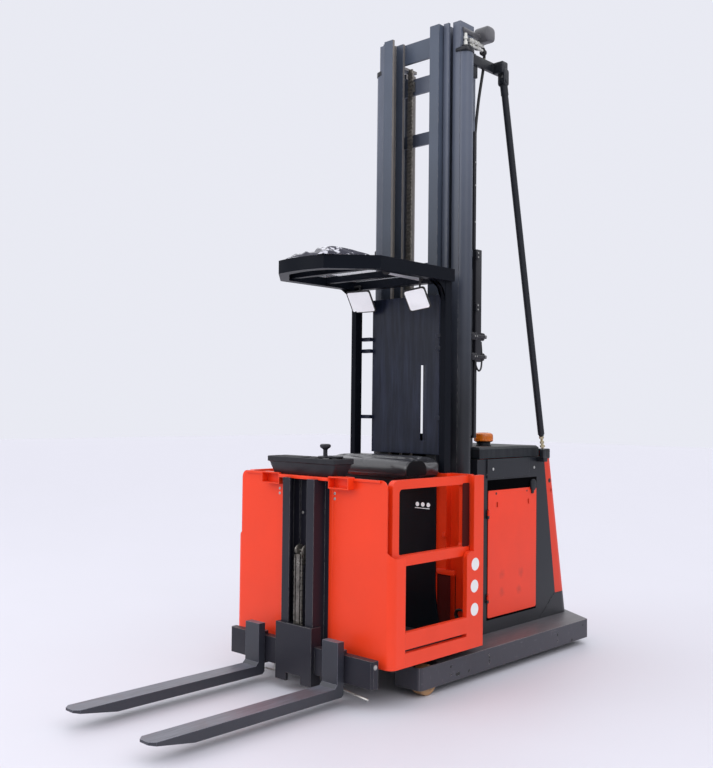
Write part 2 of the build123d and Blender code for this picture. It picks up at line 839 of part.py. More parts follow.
# Cabin frame: a side frame a side with sill, slit, rear post and gate pin, and the back wall
with BuildPart() as frame:
    for side in (-1, 1):
        x0, x1 = span(side, cab_half - side_t, cab_half)
        block(x0, x1, open_front, cab_rear, cab_bottom, sill_top)
        block(x0, x1, post_front_low, cab_rear, cab_bottom, post_step)
        block(x0, x1, post_front_top, cab_rear, cab_bottom, cab_top)
        block(x0, x1, open_front - over, post_front_low, slit_z0, slit_z1, Mode.SUBTRACT)
        step = frame.edges().filter_by(Axis.X).filter_by_position(Axis.Z, post_step - over, post_step + over)
        fillet(step.sort_by(Axis.Y)[0], post_step_r)
        x0, x1 = span(side, gate_x0 - 2 * over, cab_half - side_t)
        crosswise(x0, x1, gate_pin_y, gate_pin_z, gate_pin_r)
    both(centre_x, gate_x0 - gap, wall_front, cab_rear, floor_top, cab_top)
    both(column_x0, column_x1, column_front, wall_front, floor_top, cab_top)
keep(frame, "cabin_frame")

# Black centre cover with the pad shelf
with BuildPart() as centre_cover:
    block(-centre_x, centre_x, cover_front, cab_rear, floor_top, shelf_z)
    block(-pad_x + shelf_t, pad_x - shelf_t, shelf_front, cover_front, shelf_z - shelf_t, shelf_z)
keep(centre_cover, "centre_cover")

# Mast carriage with guides inside the inner rails
guide_x1 = inner_x1 - thick_web - slide_gap
guide_y0 = inner_y0 + thick_flange + slide_gap
guide_y1 = inner_y1 - thick_flange - slide_gap
with BuildPart() as carriage:
    block(-carriage_x, carriage_x, carriage_y0, carriage_y1, carriage_z0, carriage_z1)
    for z in (low_block_z, high_block_z):
        both(carriage_x, guide_x1, guide_y0, guide_y1, z, z + block_h)
        block(-tie_x, tie_x, cab_rear, carriage_y0, z, z + tie_h)
keep(carriage, "mast_carriage")

# Pad
with BuildPart() as pad:
    block(-pad_x, pad_x, pad_front, pad_rear, shelf_z, shelf_z + pad_h)
    fillet(pad.edges().filter_by(Axis.X), pad_r)
keep(pad, "seat_pad")

# Guard, two posts and a ring with ribs
with BuildPart() as guard:
    both(guard_x0, guard_x1, guard_y0, guard_y1, cab_top, ring_z0)
    for inset, mode in ((0.0, Mode.ADD), (ring_band, Mode.SUBTRACT)):
        x = ring_x - inset
        front = mast_y + ring_front + inset
        shoulder = mast_y + ring_shoulder + inset * 0.3
        rear = mast_y + ring_rear - inset
        nose = x * ring_nose
        with BuildSketch(Plane.XY.offset(ring_z0)):
            with BuildLine():
                Polyline(
                    (nose, front + ring_bow), (x, shoulder), (x, rear),
                    (-x, rear), (-x, shoulder), (-nose, front + ring_bow),
                )
                ThreePointArc((-nose, front + ring_bow), (0, front), (nose, front + ring_bow))
            make_face()
        extrude(amount=ring_h, mode=mode)
    for y in rib_rows:
        block(-rib_x, rib_x, y - rib_half, y + rib_half, rib_z, rib_z + rib_h)
keep(guard, "guard_frame")

with BuildPart() as panes:
    x = ring_x - ring_band - slide_gap
    front = mast_y + ring_front + ring_band + slide_gap
    shoulder = mast_y + ring_shoulder + ring_band * 0.3
    rear = mast_y + ring_rear - ring_band - slide_gap
    nose = x * ring_nose
    with BuildSketch(Plane.XY.offset(rib_z + rib_h)):
        with BuildLine():
            Polyline(
                (nose, front + ring_bow), (x, shoulder), (x, rear),
                (-x, rear), (-x, shoulder), (-nose, front + ring_bow),
            )
            ThreePointArc((-nose, front + ring_bow), (0, front), (nose, front + ring_bow))
        make_face()
    extrude(amount=pane_t)
keep(panes, "guard_panes")

# Shield between the posts
shield_y1 = shield_y0 + shield_t
with BuildPart() as shield:
    block(-shield_x, shield_x, shield_y0, shield_y1, shield_z0, shield_z1)
    block(slit_x0, slit_x1, shield_y0, shield_y1, slit_foot, slit_head, Mode.SUBTRACT)
    for z in shield_brackets:
        both(shield_x - gap, guard_x0, shield_bracket_y0, shield_y0, z, z + shield_bracket_h)
keep(shield, "back_shield")

# Work lamp and mirrors under the guard
with BuildPart() as lamp:
    block(lamp_x0, lamp_x1, lamp_y0, lamp_y1, ring_z0 - lamp_drop, rib_z)
keep(lamp, "work_lamp")

with BuildPart() as mirrors:
    for x, y, drop in mirror_rows:
        z = ring_z0 - drop
        block(x - mirror_half, x + mirror_half, y - mirror_half_t, y + mirror_half_t,
              z - mirror_half_h, z + mirror_half_h)
        block(x - stalk_half, x + stalk_half, y - stalk_half, y + stalk_half,
              z + mirror_half_h, ring_z0 + stalk_lift)
        wall = ring_x - ring_band
        reach = sorted((x, wall if x > 0 else -wall))
        block(reach[0], reach[1], y - stalk_half, y + stalk_half,
              ring_z0 + stalk_lift - 2 * stalk_half, ring_z0 + stalk_lift)
keep(mirrors, "mirrors")

# Console on the front of the cabin
with BuildPart() as console:
    block(-pod_x, pod_x, tray_y0 + pod_inset, tray_y1 - pod_back, pod_z0, tray_z0)
    chamfer(console.edges().group_by(Axis.Z)[0], pod_slope)
    block(-tray_x, tray_x, tray_y0, tray_y1, tray_z0, tray_z1)
    upright(steer_x, steer_y, tray_z1 - stem_hole, tray_z1 + over, stem_r + running, Mode.SUBTRACT)
keep(console, "console")

disc_z = tray_z1 + steer_lift
knob_z = disc_z + steer_t + knob_stem_h
with BuildPart() as steering:
    upright(steer_x, steer_y, disc_z, disc_z + steer_t, steer_r)
    upright(steer_x, steer_y, tray_z1 - stem_in, disc_z, stem_r)
    upright(steer_x, knob_y, disc_z + steer_t, knob_z, knob_stem_r)
    upright(steer_x, knob_y, knob_z, knob_z + knob_h, knob_r)
keep(steering, "steering_disc")

# Short mast on the front: two channels, a back plate, a foot and the cylinder barrel
barrel_z0 = aux_z0 + aux_foot_t
with BuildPart() as aux_mast:
    both(aux_x0, aux_x1, aux_front, aux_front + aux_flange, aux_z0, aux_z1)
    both(aux_x0, aux_x1, aux_rear - aux_flange, aux_rear, aux_z0, aux_z1)
    both(aux_x1 - aux_web, aux_x1, aux_front, aux_rear, aux_z0, aux_z1)
    block(-front_gap_x, front_gap_x, aux_rear, aux_rear + aux_plate, cab_bottom, cab_top)
    block(-aux_x1, aux_x1, aux_front + aux_flange, aux_rear + aux_plate, aux_z0, barrel_z0)
    block(-aux_x1, aux_x1, tray_y0 + pod_inset + pod_slope, aux_rear, aux_z1, pod_z0)
    upright(0, aux_y, barrel_z0, barrel_top, barrel_r)
    upright(0, aux_y, barrel_z0 + barrel_r, barrel_top, barrel_bore, Mode.SUBTRACT)
keep(aux_mast, "aux_mast")

with BuildPart() as aux_rod:
    foot = barrel_z0 + barrel_r + gap
    upright(0, aux_y, foot, rod_top, rod_r)
    upright(0, aux_y, foot, foot + piston_t, piston_r)
    block(-head_half, head_half, aux_y - rod_r, aux_y + rod_r, rod_top, rod_top + head_t)
    for side in (-1, 1):
        x0, x1 = span(side, sheave_in, sheave_out)
        crosswise(x0, x1, aux_y, sheave_z, sheave_r)
    crosswise(-head_half, head_half, aux_y, sheave_z, sheave_pin_r)
keep(aux_rod, "aux_rod")

# Chain runs in front of and behind the sheaves
front_face = aux_y - sheave_r - slide_gap
rear_face = aux_y + sheave_r + slide_gap
with BuildPart() as aux_chains:
    both(link_in, link_out, front_face - link_t, front_face, front_run, sheave_z)
    both(link_in, link_out, rear_face, rear_face + link_t, rear_run, sheave_z)
keep(aux_chains, "aux_chains")

# Fork carriage: a block round the short mast and a bar a side
plate_back = block_front + block_t
with BuildPart() as fork_carriage:
    both(block_x - over, bar_x, bar_front, bar_rear, bar_z0, bar_z1)
    ends = fork_carriage.edges().filter_by(Axis.Z).group_by(Axis.Y)[0].sort_by(Axis.X)
    chamfer((ends[0], ends[-1]), bar_corner)
    block(-block_x, block_x, block_front, plate_back, block_z0, block_z1)
    both(block_x - cheek, block_x, block_front, bar_rear, block_z0, block_z1)
    both(arm_x0, arm_x1, plate_back, arm_back, arm_z0, arm_z0 + arm_h)
    both(arm_x0, aux_x1 - aux_web - slide_gap, aux_front + aux_flange + slide_gap,
         aux_rear - aux_flange - slide_gap, arm_z0, arm_z0 + arm_h)
    block(-mouth_x, mouth_x, block_front, plate_back, block_z0, mouth_top, Mode.SUBTRACT)
keep(fork_carriage, "fork_carriage")

# Forks, each a bent blade with a tapered tip and two hooks round the bar
for side, word in ((-1, "left"), (1, "right")):
    with BuildPart() as fork:
        with BuildSketch(Plane.YZ.offset(side * fork_x)):
            with BuildLine():
                Polyline(
                    (mast_y + fork_back, fork_shank_top),
                    (mast_y + fork_face, fork_shank_top),
                    (mast_y + fork_face, fork_top + fork_bend),
                    (mast_y + fork_face - fork_bend, fork_top),
                    (mast_y + fork_tip, fork_top),
                    (mast_y + fork_tip, fork_top - fork_tip_t),
                    (mast_y + fork_tip + fork_taper, fork_top - fork_t),
                    (mast_y + fork_back - heel_r, fork_top - fork_t),
                    (mast_y + fork_back, fork_top - fork_t + heel_r),
                    close=True,
                )
            make_face()
        extrude(amount=fork_w / 2, both=True)
        chamfer(fork.edges().filter_by(Axis.Z).group_by(Axis.Y)[0], fork_corner)
        x0, x1 = side * fork_x - hook_half, side * fork_x + hook_half
        block(x0, x1, fork_back, bar_rear - hook_back, bar_z1 + slide_gap, bar_z1 + hook_t)
        block(x0, x1, fork_back, bar_rear - hook_back, bar_z0 - hook_t, bar_z0 - slide_gap)
    keep(fork, f"fork_{word}")

# Gates, each on a pin low in the rear post
for side, word in ((-1, "left"), (1, "right")):
    x0, x1 = span(side, gate_x0, gate_x1)
    with BuildPart() as gate:
        block(x0, x1, gate_front, gate_rear, gate_z0, gate_z1)
        fillet(gate.edges().filter_by(Axis.X).group_by(Axis.Y)[0], gate_outer_r)
        window_y0 = mast_y + gate_front + gate_bar_w
        window_y1 = mast_y + gate_rear - gate_rear_bar
        window_z0 = gate_z0 + gate_low_bar
        window_z1 = gate_z1 - gate_top_bar
        with BuildSketch(Plane.YZ.offset(x0)) as window:
            with Locations(((window_y0 + window_y1) / 2, (window_z0 + window_z1) / 2)):
                RectangleRounded(window_y1 - window_y0, window_z1 - window_z0, gate_inner_r)
        extrude(amount=gate_t, mode=Mode.SUBTRACT)
        block(x0, x1, gate_rear - over, gate_pin_y + gate_eye,
              gate_z0 + gap, gate_z0 + gate_low_bar - gap)
        crosswise(x0, x1, gate_pin_y, gate_pin_z, gate_pin_r + running, Mode.SUBTRACT)
    keep(gate, f"gate_{word}")
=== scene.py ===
import bpy, math
import numpy as np
from mathutils import Matrix, Vector


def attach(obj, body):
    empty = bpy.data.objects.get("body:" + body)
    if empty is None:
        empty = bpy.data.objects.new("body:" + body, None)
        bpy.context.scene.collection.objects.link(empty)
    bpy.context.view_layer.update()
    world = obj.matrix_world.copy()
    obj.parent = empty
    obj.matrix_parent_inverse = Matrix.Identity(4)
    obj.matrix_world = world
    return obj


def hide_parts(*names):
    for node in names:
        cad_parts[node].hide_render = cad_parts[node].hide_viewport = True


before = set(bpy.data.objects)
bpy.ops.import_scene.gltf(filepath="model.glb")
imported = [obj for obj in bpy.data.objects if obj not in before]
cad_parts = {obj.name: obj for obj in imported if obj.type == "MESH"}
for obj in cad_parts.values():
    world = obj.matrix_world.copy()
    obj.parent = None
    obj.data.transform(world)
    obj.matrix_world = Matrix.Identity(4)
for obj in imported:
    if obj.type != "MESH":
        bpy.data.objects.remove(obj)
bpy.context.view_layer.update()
mastFront = 493.0  # every y below is in millimetres from the front plane of the outer mast

# Camera, matched to the photograph
camera = dict(place=(4.0986, -4.4708, 1.6638), yaw=43.10, pitch=1.505, roll=0.644, focal=951.4, long=768)


def aimCamera(c):
    # a level look direction from yaw and pitch, then turned about itself by roll
    yaw, pitch, roll = (math.radians(c[k]) for k in ("yaw", "pitch", "roll"))
    ahead = Vector((-math.sin(yaw) * math.cos(pitch), math.cos(yaw) * math.cos(pitch), math.sin(pitch)))
    across = Vector((math.cos(yaw), math.sin(yaw), 0))
    up = across.cross(ahead)
    acrossTurned = math.cos(roll) * across + math.sin(roll) * up
    upTurned = -math.sin(roll) * across + math.cos(roll) * up
    lens = bpy.data.cameras.new("photoCamera")
    lens.sensor_width = 36.0
    lens.lens = c["focal"] / c["long"] * 36.0
    lens.clip_end = 100
    holder = bpy.data.objects.new("photoCamera", lens)
    bpy.context.scene.collection.objects.link(holder)
    turn = Matrix((acrossTurned, upTurned, -ahead)).transposed().to_4x4()
    turn.translation = c["place"]
    holder.matrix_world = turn
    bpy.context.scene.camera = holder


aimCamera(camera)
print("camera set")


# node helpers
def add(tree, kind, feeds=None, **settings):
    # one shader node; feeds are its inputs, each a number, a colour or another node's output
    made = tree.nodes.new(kind)
    for key, value in settings.items():
        setattr(made, key, value)
    for key, value in (feeds or {}).items():
        if isinstance(value, bpy.types.NodeSocket):
            tree.links.new(value, made.inputs[key])
        else:
            made.inputs[key].default_value = value
    return made.outputs[0]


def sums(tree, operation, *values, clamp=False):
    feeds = {i: v for i, v in enumerate(values)}
    return add(tree, "ShaderNodeMath", feeds, operation=operation, use_clamp=clamp)


def times(tree, *values, clamp=False):
    return sums(tree, "MULTIPLY", *values, clamp=clamp)


def ramp(tree, value, start, slope):
    # (value - start) * slope, held between 0 and 1
    return times(tree, sums(tree, "SUBTRACT", value, start), slope, clamp=True)


def mixed(tree, share, low, high):
    made = tree.nodes.new("ShaderNodeMix")
    made.data_type = "RGBA"
    for key, value in ((0, share), (6, low), (7, high)):
        if isinstance(value, bpy.types.NodeSocket):
            tree.links.new(value, made.inputs[key])
        else:
            made.inputs[key].default_value = value
    return made.outputs[2]


def noise(tree, where, scale, detail=4.0, rough=0.55):
    return add(tree, "ShaderNodeTexNoise",
               {"Vector": where, "Scale": scale, "Detail": detail, "Roughness": rough})


def stretched(tree, where, scale):
    return add(tree, "ShaderNodeMapping", {"Vector": where, "Scale": scale})


def edges(tree, flat, radius, gain):
    # a bevelled normal, and how far it leans from the flat one: (1 - cosine) * gain
    rounded = add(tree, "ShaderNodeBevel", {"Radius": radius}, samples=3)
    leaning = add(tree, "ShaderNodeVectorMath", {0: rounded, 1: flat}, operation="DOT_PRODUCT")
    cosine = leaning.node.outputs["Value"]
    return rounded, times(tree, sums(tree, "SUBTRACT", 1.0, cosine), gain, clamp=True)


def newGroup(name, given, wanted):
    group = bpy.data.node_groups.new(name, "ShaderNodeTree")
    for label, kind, value in given:
        group.interface.new_socket(label, in_out="INPUT",
                                   socket_type="NodeSocket" + kind).default_value = value
    for label, kind in wanted:
        group.interface.new_socket(label, in_out="OUTPUT", socket_type="NodeSocket" + kind)
    start = group.nodes.new("NodeGroupInput").outputs
    end = group.nodes.new("NodeGroupOutput").inputs
    return group, start, end


def rgb(r, g, b):
    return (r, g, b, 1.0)


# Worn paint: clouded colour, chips along edges, scuffs in two directions, dust low down and on top faces,
# grease running down the inner faces of the mast, and painted light: the colour brightens with height above
# 1.7 m.
wornPaint, start, end = newGroup("wornPaint", (
    ("Paint", "Color", rgb(0.5, 0.1, 0.05)),
    ("Bare", "Color", rgb(0.3, 0.3, 0.3)),
    ("Shade", "Float", 0.2),
    ("Chips", "Float", 0.3),
    ("Scuffs", "Float", 0.3),
    ("Scuff Colour", "Color", rgb(0.3, 0.3, 0.3)),
    ("Dust", "Float", 0.2),
    ("Dust Height", "Float", 0.5),
    ("Grease", "Float", 0.0),
    ("Gloss", "Float", 0.35),
    ("Grain", "Float", 0.3),
    ("Top Wear", "Float", 0.0),
    ("Fade", "Float", 0.0),
), (("Colour", "Color"), ("Roughness", "Float"), ("Metal", "Float"), ("Height", "Float"),
    ("Rounded", "Vector")))
g = wornPaint
place = add(g, "ShaderNodeTexCoord").node.outputs["Object"]
xyz = add(g, "ShaderNodeSeparateXYZ", {0: place}).node.outputs
flat = add(g, "ShaderNodeNewGeometry").node.outputs["Normal"]
flatXyz = add(g, "ShaderNodeSeparateXYZ", {0: flat}).node.outputs
rounded, edge = edges(g, flat, 0.0035, 7.0)
cloud = noise(g, place, 2.3, 5.0)
speck = noise(g, place, 48.0, 6.0, 0.7)
chip = sums(g, "MULTIPLY_ADD", edge, times(g, start["Chips"], 1.5), speck)
chip = ramp(g, chip, 0.86, 9.0)
waver = add(g, "ShaderNodeTexNoise", {"Vector": place, "Scale": 3.0}).node.outputs["Color"]
bend = add(g, "ShaderNodeVectorMath", {0: waver, "Scale": 0.05}, operation="SCALE")
bent = add(g, "ShaderNodeVectorMath", {0: place, 1: bend}, operation="ADD")
downward = noise(g, stretched(g, bent, (90.0, 90.0, 9.0)), 1.0, 4.0, 0.65)
lengthways = noise(g, stretched(g, bent, (75.0, 5.0, 75.0)), 1.0, 4.0, 0.65)
blotch = noise(g, bent, 17.0, 6.0, 0.7)
scuff = sums(g, "MAXIMUM", sums(g, "MAXIMUM", downward, lengthways), blotch)
scuff = sums(g, "SUBTRACT", scuff, sums(g, "MULTIPLY_ADD", start["Scuffs"], -0.10, 0.74))
scuff = times(g, times(g, scuff, 8.0, clamp=True), times(g, start["Scuffs"], cloud))
low = sums(g, "SUBTRACT", 1.0, sums(g, "DIVIDE", xyz[2], start["Dust Height"]), clamp=True)
upward = ramp(g, flatXyz[2], 0.6, 2.0)
dust = times(g, sums(g, "MAXIMUM", low, upward), times(g, cloud, start["Dust"]))
inward = times(g, times(g, xyz[0], flatXyz[0]), -12.0, clamp=True)
streak = noise(g, stretched(g, place, (34.0, 34.0, 0.9)), 1.0, 4.0)
greasy = times(g, times(g, inward, streak), times(g, start["Grease"], 1.6), clamp=True)
tone = sums(g, "MULTIPLY_ADD", sums(g, "SUBTRACT", cloud, 0.5), times(g, start["Shade"], 2.2), 1.0)
# painted light: the colour grows brighter from 1.7 m upwards, standing in for the brighter light on the
# mast's upper part
paintedHeightLight = times(g, sums(g, "DIVIDE", sums(g, "SUBTRACT", xyz[2], 1.7), 2.0, clamp=True), start["Fade"])
tone = times(g, tone, sums(g, "ADD", paintedHeightLight, 1.0))
colour = add(g, "ShaderNodeVectorMath", {0: start["Paint"], "Scale": tone}, operation="SCALE")
colour = mixed(g, greasy, colour, rgb(0.235, 0.212, 0.190))
colour = mixed(g, scuff, colour, start["Scuff Colour"])
top = ramp(g, flatXyz[2], 0.8, 5.0)
rubbed = times(g, sums(g, "MULTIPLY_ADD", lengthways, 1.4, 0.0), times(g, top, start["Top Wear"]), clamp=True)
colour = mixed(g, rubbed, colour, start["Bare"])
stain = ramp(g, noise(g, place, 3.1, 3.0), 0.52, 6.0)
stained = times(g, stain, times(g, top, times(g, sums(g, "POWER", start["Top Wear"], 3.0), 3.0)))
colour = mixed(g, stained, colour, rgb(0.09, 0.035, 0.035))
colour = mixed(g, chip, colour, start["Bare"])
colour = mixed(g, dust, colour, rgb(0.30, 0.27, 0.26))
rough = sums(g, "MULTIPLY_ADD", cloud, 0.12, start["Gloss"])
rough = sums(g, "MULTIPLY_ADD", dust, 0.45, rough)
rough = sums(g, "MULTIPLY_ADD", scuff, 0.2, rough, clamp=True)
grain = noise(g, place, 420.0, 2.0)
height = times(g, grain, start["Grain"])
height = sums(g, "MULTIPLY_ADD", chip, -0.9, height)
height = sums(g, "MULTIPLY_ADD", streak, times(g, greasy, 0.6), height)
for label, value in (("Colour", colour), ("Roughness", rough), ("Metal", times(g, chip, 0.7)),
                     ("Height", height), ("Rounded", rounded)):
    g.links.new(value, end[label])

# Moulded black plastic or rubber: a pebbled grain with scuffed, lighter edges
mouldedPlastic, start, end = newGroup("mouldedPlastic", (
    ("Colour", "Color", rgb(0.02, 0.02, 0.02)),
    ("Worn", "Color", rgb(0.15, 0.15, 0.15)),
    ("Wear", "Float", 0.3),
    ("Pebble Scale", "Float", 500.0),
    ("Gloss", "Float", 0.4),
), (("Colour", "Color"), ("Roughness", "Float"), ("Height", "Float"), ("Rounded", "Vector")))
g = mouldedPlastic
place = add(g, "ShaderNodeTexCoord").node.outputs["Object"]
flat = add(g, "ShaderNodeNewGeometry").node.outputs["Normal"]
rounded, edge = edges(g, flat, 0.004, 6.0)
cloud = noise(g, place, 5.0, 5.0)
fine = noise(g, stretched(g, place, (24.0, 24.0, 2.2)), 1.0, 6.0, 0.65)
worn = times(g, sums(g, "MAXIMUM", edge, sums(g, "SUBTRACT", fine, 0.42)), start["Wear"], clamp=True)
pebble = add(g, "ShaderNodeTexVoronoi", {"Vector": place, "Scale": start["Pebble Scale"]})
g.links.new(mixed(g, worn, start["Colour"], start["Worn"]), end["Colour"])
g.links.new(sums(g, "MULTIPLY_ADD", cloud, 0.25, start["Gloss"], clamp=True), end["Roughness"])
g.links.new(pebble, end["Height"])
g.links.new(rounded, end["Rounded"])

# Machined or plated metal: fine turning lines and a film of oil
turnedMetal, start, end = newGroup("turnedMetal", (
    ("Colour", "Color", rgb(0.5, 0.5, 0.5)),
    ("Oil", "Color", rgb(0.05, 0.04, 0.03)),
    ("Oiled", "Float", 0.3),
    ("Gloss", "Float", 0.25),
), (("Colour", "Color"), ("Roughness", "Float"), ("Height", "Float")))
g = turnedMetal
place = add(g, "ShaderNodeTexCoord").node.outputs["Object"]
cloud = noise(g, place, 22.0, 6.0, 0.65)
lines = noise(g, stretched(g, place, (40.0, 40.0, 900.0)), 1.0, 2.0)
film = times(g, ramp(g, cloud, 0.35, 3.0), start["Oiled"])
g.links.new(mixed(g, film, start["Colour"], start["Oil"]), end["Colour"])
g.links.new(sums(g, "MULTIPLY_ADD", film, 0.35, start["Gloss"], clamp=True), end["Roughness"])
g.links.new(lines, end["Height"])

# Coated cloth of the pad: a fine woven backing pressed through a soft grain
padGrain, start, end = newGroup("padGrain", (
    ("Colour", "Color", rgb(0.02, 0.02, 0.02)),
    ("Rubbed", "Color", rgb(0.08, 0.08, 0.085)),
    ("Gloss", "Float", 0.45),
), (("Colour", "Color"), ("Roughness", "Float"), ("Height", "Float")))
g = padGrain
place = add(g, "ShaderNodeTexCoord").node.outputs["Object"]
cloud = noise(g, place, 9.0, 5.0)
cell = add(g, "ShaderNodeTexVoronoi", {"Vector": place, "Scale": 260.0}, feature="DISTANCE_TO_EDGE")
wrinkle = noise(g, stretched(g, place, (6.0, 26.0, 26.0)), 1.0, 3.0)
g.links.new(mixed(g, times(g, cloud, 0.7), start["Colour"], start["Rubbed"]), end["Colour"])
g.links.new(sums(g, "MULTIPLY_ADD", cloud, 0.2, start["Gloss"]), end["Roughness"])
g.links.new(sums(g, "MULTIPLY_ADD", wrinkle, 1.5, cell), end["Height"])


def finish(name, group, looks, depth=0.0004, strength=0.35, **shaderValues):
    # a material from one group; constants such as coat or transmission stand on the shader itself
    made = bpy.data.materials.new(name)
    made.use_nodes = True
    tree = made.node_tree
    shader = tree.nodes["Principled BSDF"]
    box = tree.nodes.new("ShaderNodeGroup")
    box.node_tree = group
    for key, value in looks.items():
        box.inputs[key].default_value = value
    tree.links.new(box.outputs["Colour"], shader.inputs["Base Color"])
    tree.links.new(box.outputs["Roughness"], shader.inputs["Roughness"])
    if "Metal" in box.outputs:
        tree.links.new(box.outputs["Metal"], shader.inputs["Metallic"])
    feeds = {"Height": box.outputs["Height"], "Strength": strength, "Distance": depth}
    if "Rounded" in box.outputs:
        feeds["Normal"] = box.outputs["Rounded"]
    tree.links.new(add(tree, "ShaderNodeBump", feeds), shader.inputs["Normal"])
    for key, value in shaderValues.items():
        shader.inputs[key.replace("_", " ")].default_value = value
    return made


redBase = {"Bare": rgb(0.16, 0.05, 0.04), "Scuff Colour": rgb(0.85, 0.16, 0.09)}
slateBase = {"Bare": rgb(0.30, 0.29, 0.28), "Scuff Colour": rgb(0.14, 0.14, 0.15)}
paintInputs = ("Shade", "Chips", "Scuffs", "Dust", "Dust Height", "Gloss", "Grain")
# base, paint, the inputs named above, specular level, inputs of this finish alone
paintRows = dict(
    skinRed=(redBase, (0.87, 0.045, 0.006), (0.10, 0.10, 0.25, 0.06, 0.6, 0.34, 0.12), 0.40, {}),
    frameRed=(redBase, (0.82, 0.042, 0.005), (0.16, 0.22, 0.4, 0.10, 0.7, 0.36, 0.15), 0.38, {}),
    doorRed=(redBase, (0.86, 0.042, 0.007), (0.14, 0.16, 0.45, 0.10, 0.9, 0.36, 0.12), 0.40, {}),
    hoodRed=(redBase, (0.72, 0.034, 0.005), (0.14, 0.2, 0.5, 0.08, 0.7, 0.36, 0.15), 0.38, {}),
    # a dark matte red: painted shade on the gate strips and under the column shelf, and the colour of the
    # column seams
    shadeAndSeamRed=(redBase, (0.060, 0.006, 0.005), (0.3, 0.1, 0.2, 0.2, 0.5, 0.6, 0.3), 0.1, {}),
    # the two mast slates carry painted light: their colour brightens with height
    railSlate=(slateBase, (0.012, 0.014, 0.019), (0.2, 0.30, 0.5, 0.05, 0.5, 0.30, 0.25), 0.40,
               {"Fade": 7.4, "Grease": 0.9}),
    innerSlate=(slateBase, (0.008, 0.010, 0.014), (0.25, 0.28, 0.6, 0.05, 0.5, 0.32, 0.25), 0.32,
                {"Fade": 8.0, "Grease": 1.0}),
    towerSlate=(slateBase, (0.013, 0.015, 0.020), (0.2, 0.22, 0.3, 0.12, 0.6, 0.34, 0.2), 0.30, {}),
    guardSlate=(slateBase, (0.0060, 0.0075, 0.0115), (0.15, 0.15, 0.3, 0.04, 0.5, 0.30, 0.2), 0.05, {}),
    chassisSlate=(slateBase, (0.032, 0.032, 0.044), (0.3, 0.46, 1.0, 0.07, 0.3, 0.36, 0.35), 0.5,
                  {"Bare": rgb(0.40, 0.38, 0.38), "Scuff Colour": rgb(0.26, 0.25, 0.27), "Top Wear": 0.20}),
    forkSteel=(slateBase, (0.028, 0.030, 0.041), (0.3, 0.42, 0.7, 0.05, 0.2, 0.34, 0.3), 0.5,
               {"Bare": rgb(0.27, 0.275, 0.33), "Scuff Colour": rgb(0.14, 0.12, 0.13), "Top Wear": 0.5}),
    blockSlate=(slateBase, (0.016, 0.016, 0.024), (0.2, 0.34, 0.5, 0.1, 0.25, 0.36, 0.3), 0.28, {}),
    headGrey=(slateBase, (0.085, 0.085, 0.092), (0.2, 0.3, 0.5, 0.2, 0.5, 0.26, 0.2), 0.5, {}),
)
# colour, worn colour, wear, gloss, pebble scale, bump depth, specular level
plasticRows = dict(
    blackPlastic=((0.010, 0.010, 0.014), (0.08, 0.08, 0.09), 0.25, 0.30, 500.0, 0.0002, 0.35),
    lidPlastic=((0.008, 0.010, 0.014), (0.085, 0.095, 0.10), 0.55, 0.36, 500.0, 0.0003, 0.24),
    shieldPlastic=((0.007, 0.010, 0.022), (0.060, 0.075, 0.140), 0.9, 0.20, 500.0, 0.00015, 0.30),
    softRubber=((0.012, 0.012, 0.013), (0.15, 0.15, 0.15), 0.2, 0.5, 500.0, 0.0003, 0.5),
    wheelTan=((0.42, 0.235, 0.11), (0.16, 0.11, 0.08), 0.7, 0.42, 240.0, 0.0004, 0.5),
    # the next finish is near-black with almost no specular: painted shade for the gaps round the battery
    # doors
    gapShadeBlack=((0.0012, 0.0012, 0.0016), (0.006, 0.006, 0.007), 0.2, 0.75, 500.0, 0.0001, 0.02),
    kickBlack=((0.002, 0.0075, 0.011), (0.012, 0.024, 0.034), 0.3, 0.26, 500.0, 0.0001, 0.22),
    panelWhiteGlow=((0.8, 0.8, 0.8), (0.6, 0.6, 0.6), 0.2, 0.3, 500.0, 0.0001, 0.5),
    discWhite=((0.78, 0.78, 0.78), (0.45, 0.42, 0.40), 0.25, 0.35, 500.0, 0.0001, 0.5),
    lampFace=((0.52, 0.52, 0.54), (0.3, 0.3, 0.3), 0.2, 0.25, 500.0, 0.0001, 0.5),
)
plainOil = (0.05, 0.04, 0.03)
# colour, oil, how oiled, gloss, bump depth, metallic
metalRows = dict(
    boltMetal=((0.55, 0.55, 0.54), plainOil, 0.25, 0.30, 0.0004, 0.9),
    rodChrome=((0.62, 0.62, 0.63), plainOil, 0.35, 0.10, 0.0001, 1.0),
    hubMetal=((0.34, 0.33, 0.31), plainOil, 0.5, 0.36, 0.0004, 0.7),
    brassFitting=((0.52, 0.46, 0.30), plainOil, 0.3, 0.28, 0.0004, 0.85),
    zincFitting=((0.66, 0.66, 0.62), plainOil, 0.2, 0.3, 0.0004, 0.6),
    chainGrease=((0.30, 0.28, 0.25), (0.03, 0.026, 0.022), 0.6, 0.26, 0.0004, 0.75),
)
materials = {}
for name, (base, colour, values, specular, own) in paintRows.items():
    looks = {"Paint": rgb(*colour), **base, **dict(zip(paintInputs, values)), **own}
    materials[name] = finish(name, wornPaint, looks, Specular_IOR_Level=specular)
for name, (colour, worn, wear, gloss, pebbles, depth, specular) in plasticRows.items():
    looks = {"Colour": rgb(*colour), "Worn": rgb(*worn), "Wear": wear, "Gloss": gloss,
             "Pebble Scale": pebbles}
    materials[name] = finish(name, mouldedPlastic, looks, depth, Specular_IOR_Level=specular)
for name, (colour, oil, oiled, gloss, depth, metallic) in metalRows.items():
    looks = {"Colour": rgb(*colour), "Oil": rgb(*oil), "Oiled": oiled, "Gloss": gloss}
    materials[name] = finish(name, turnedMetal, looks, depth, Metallic=metallic)
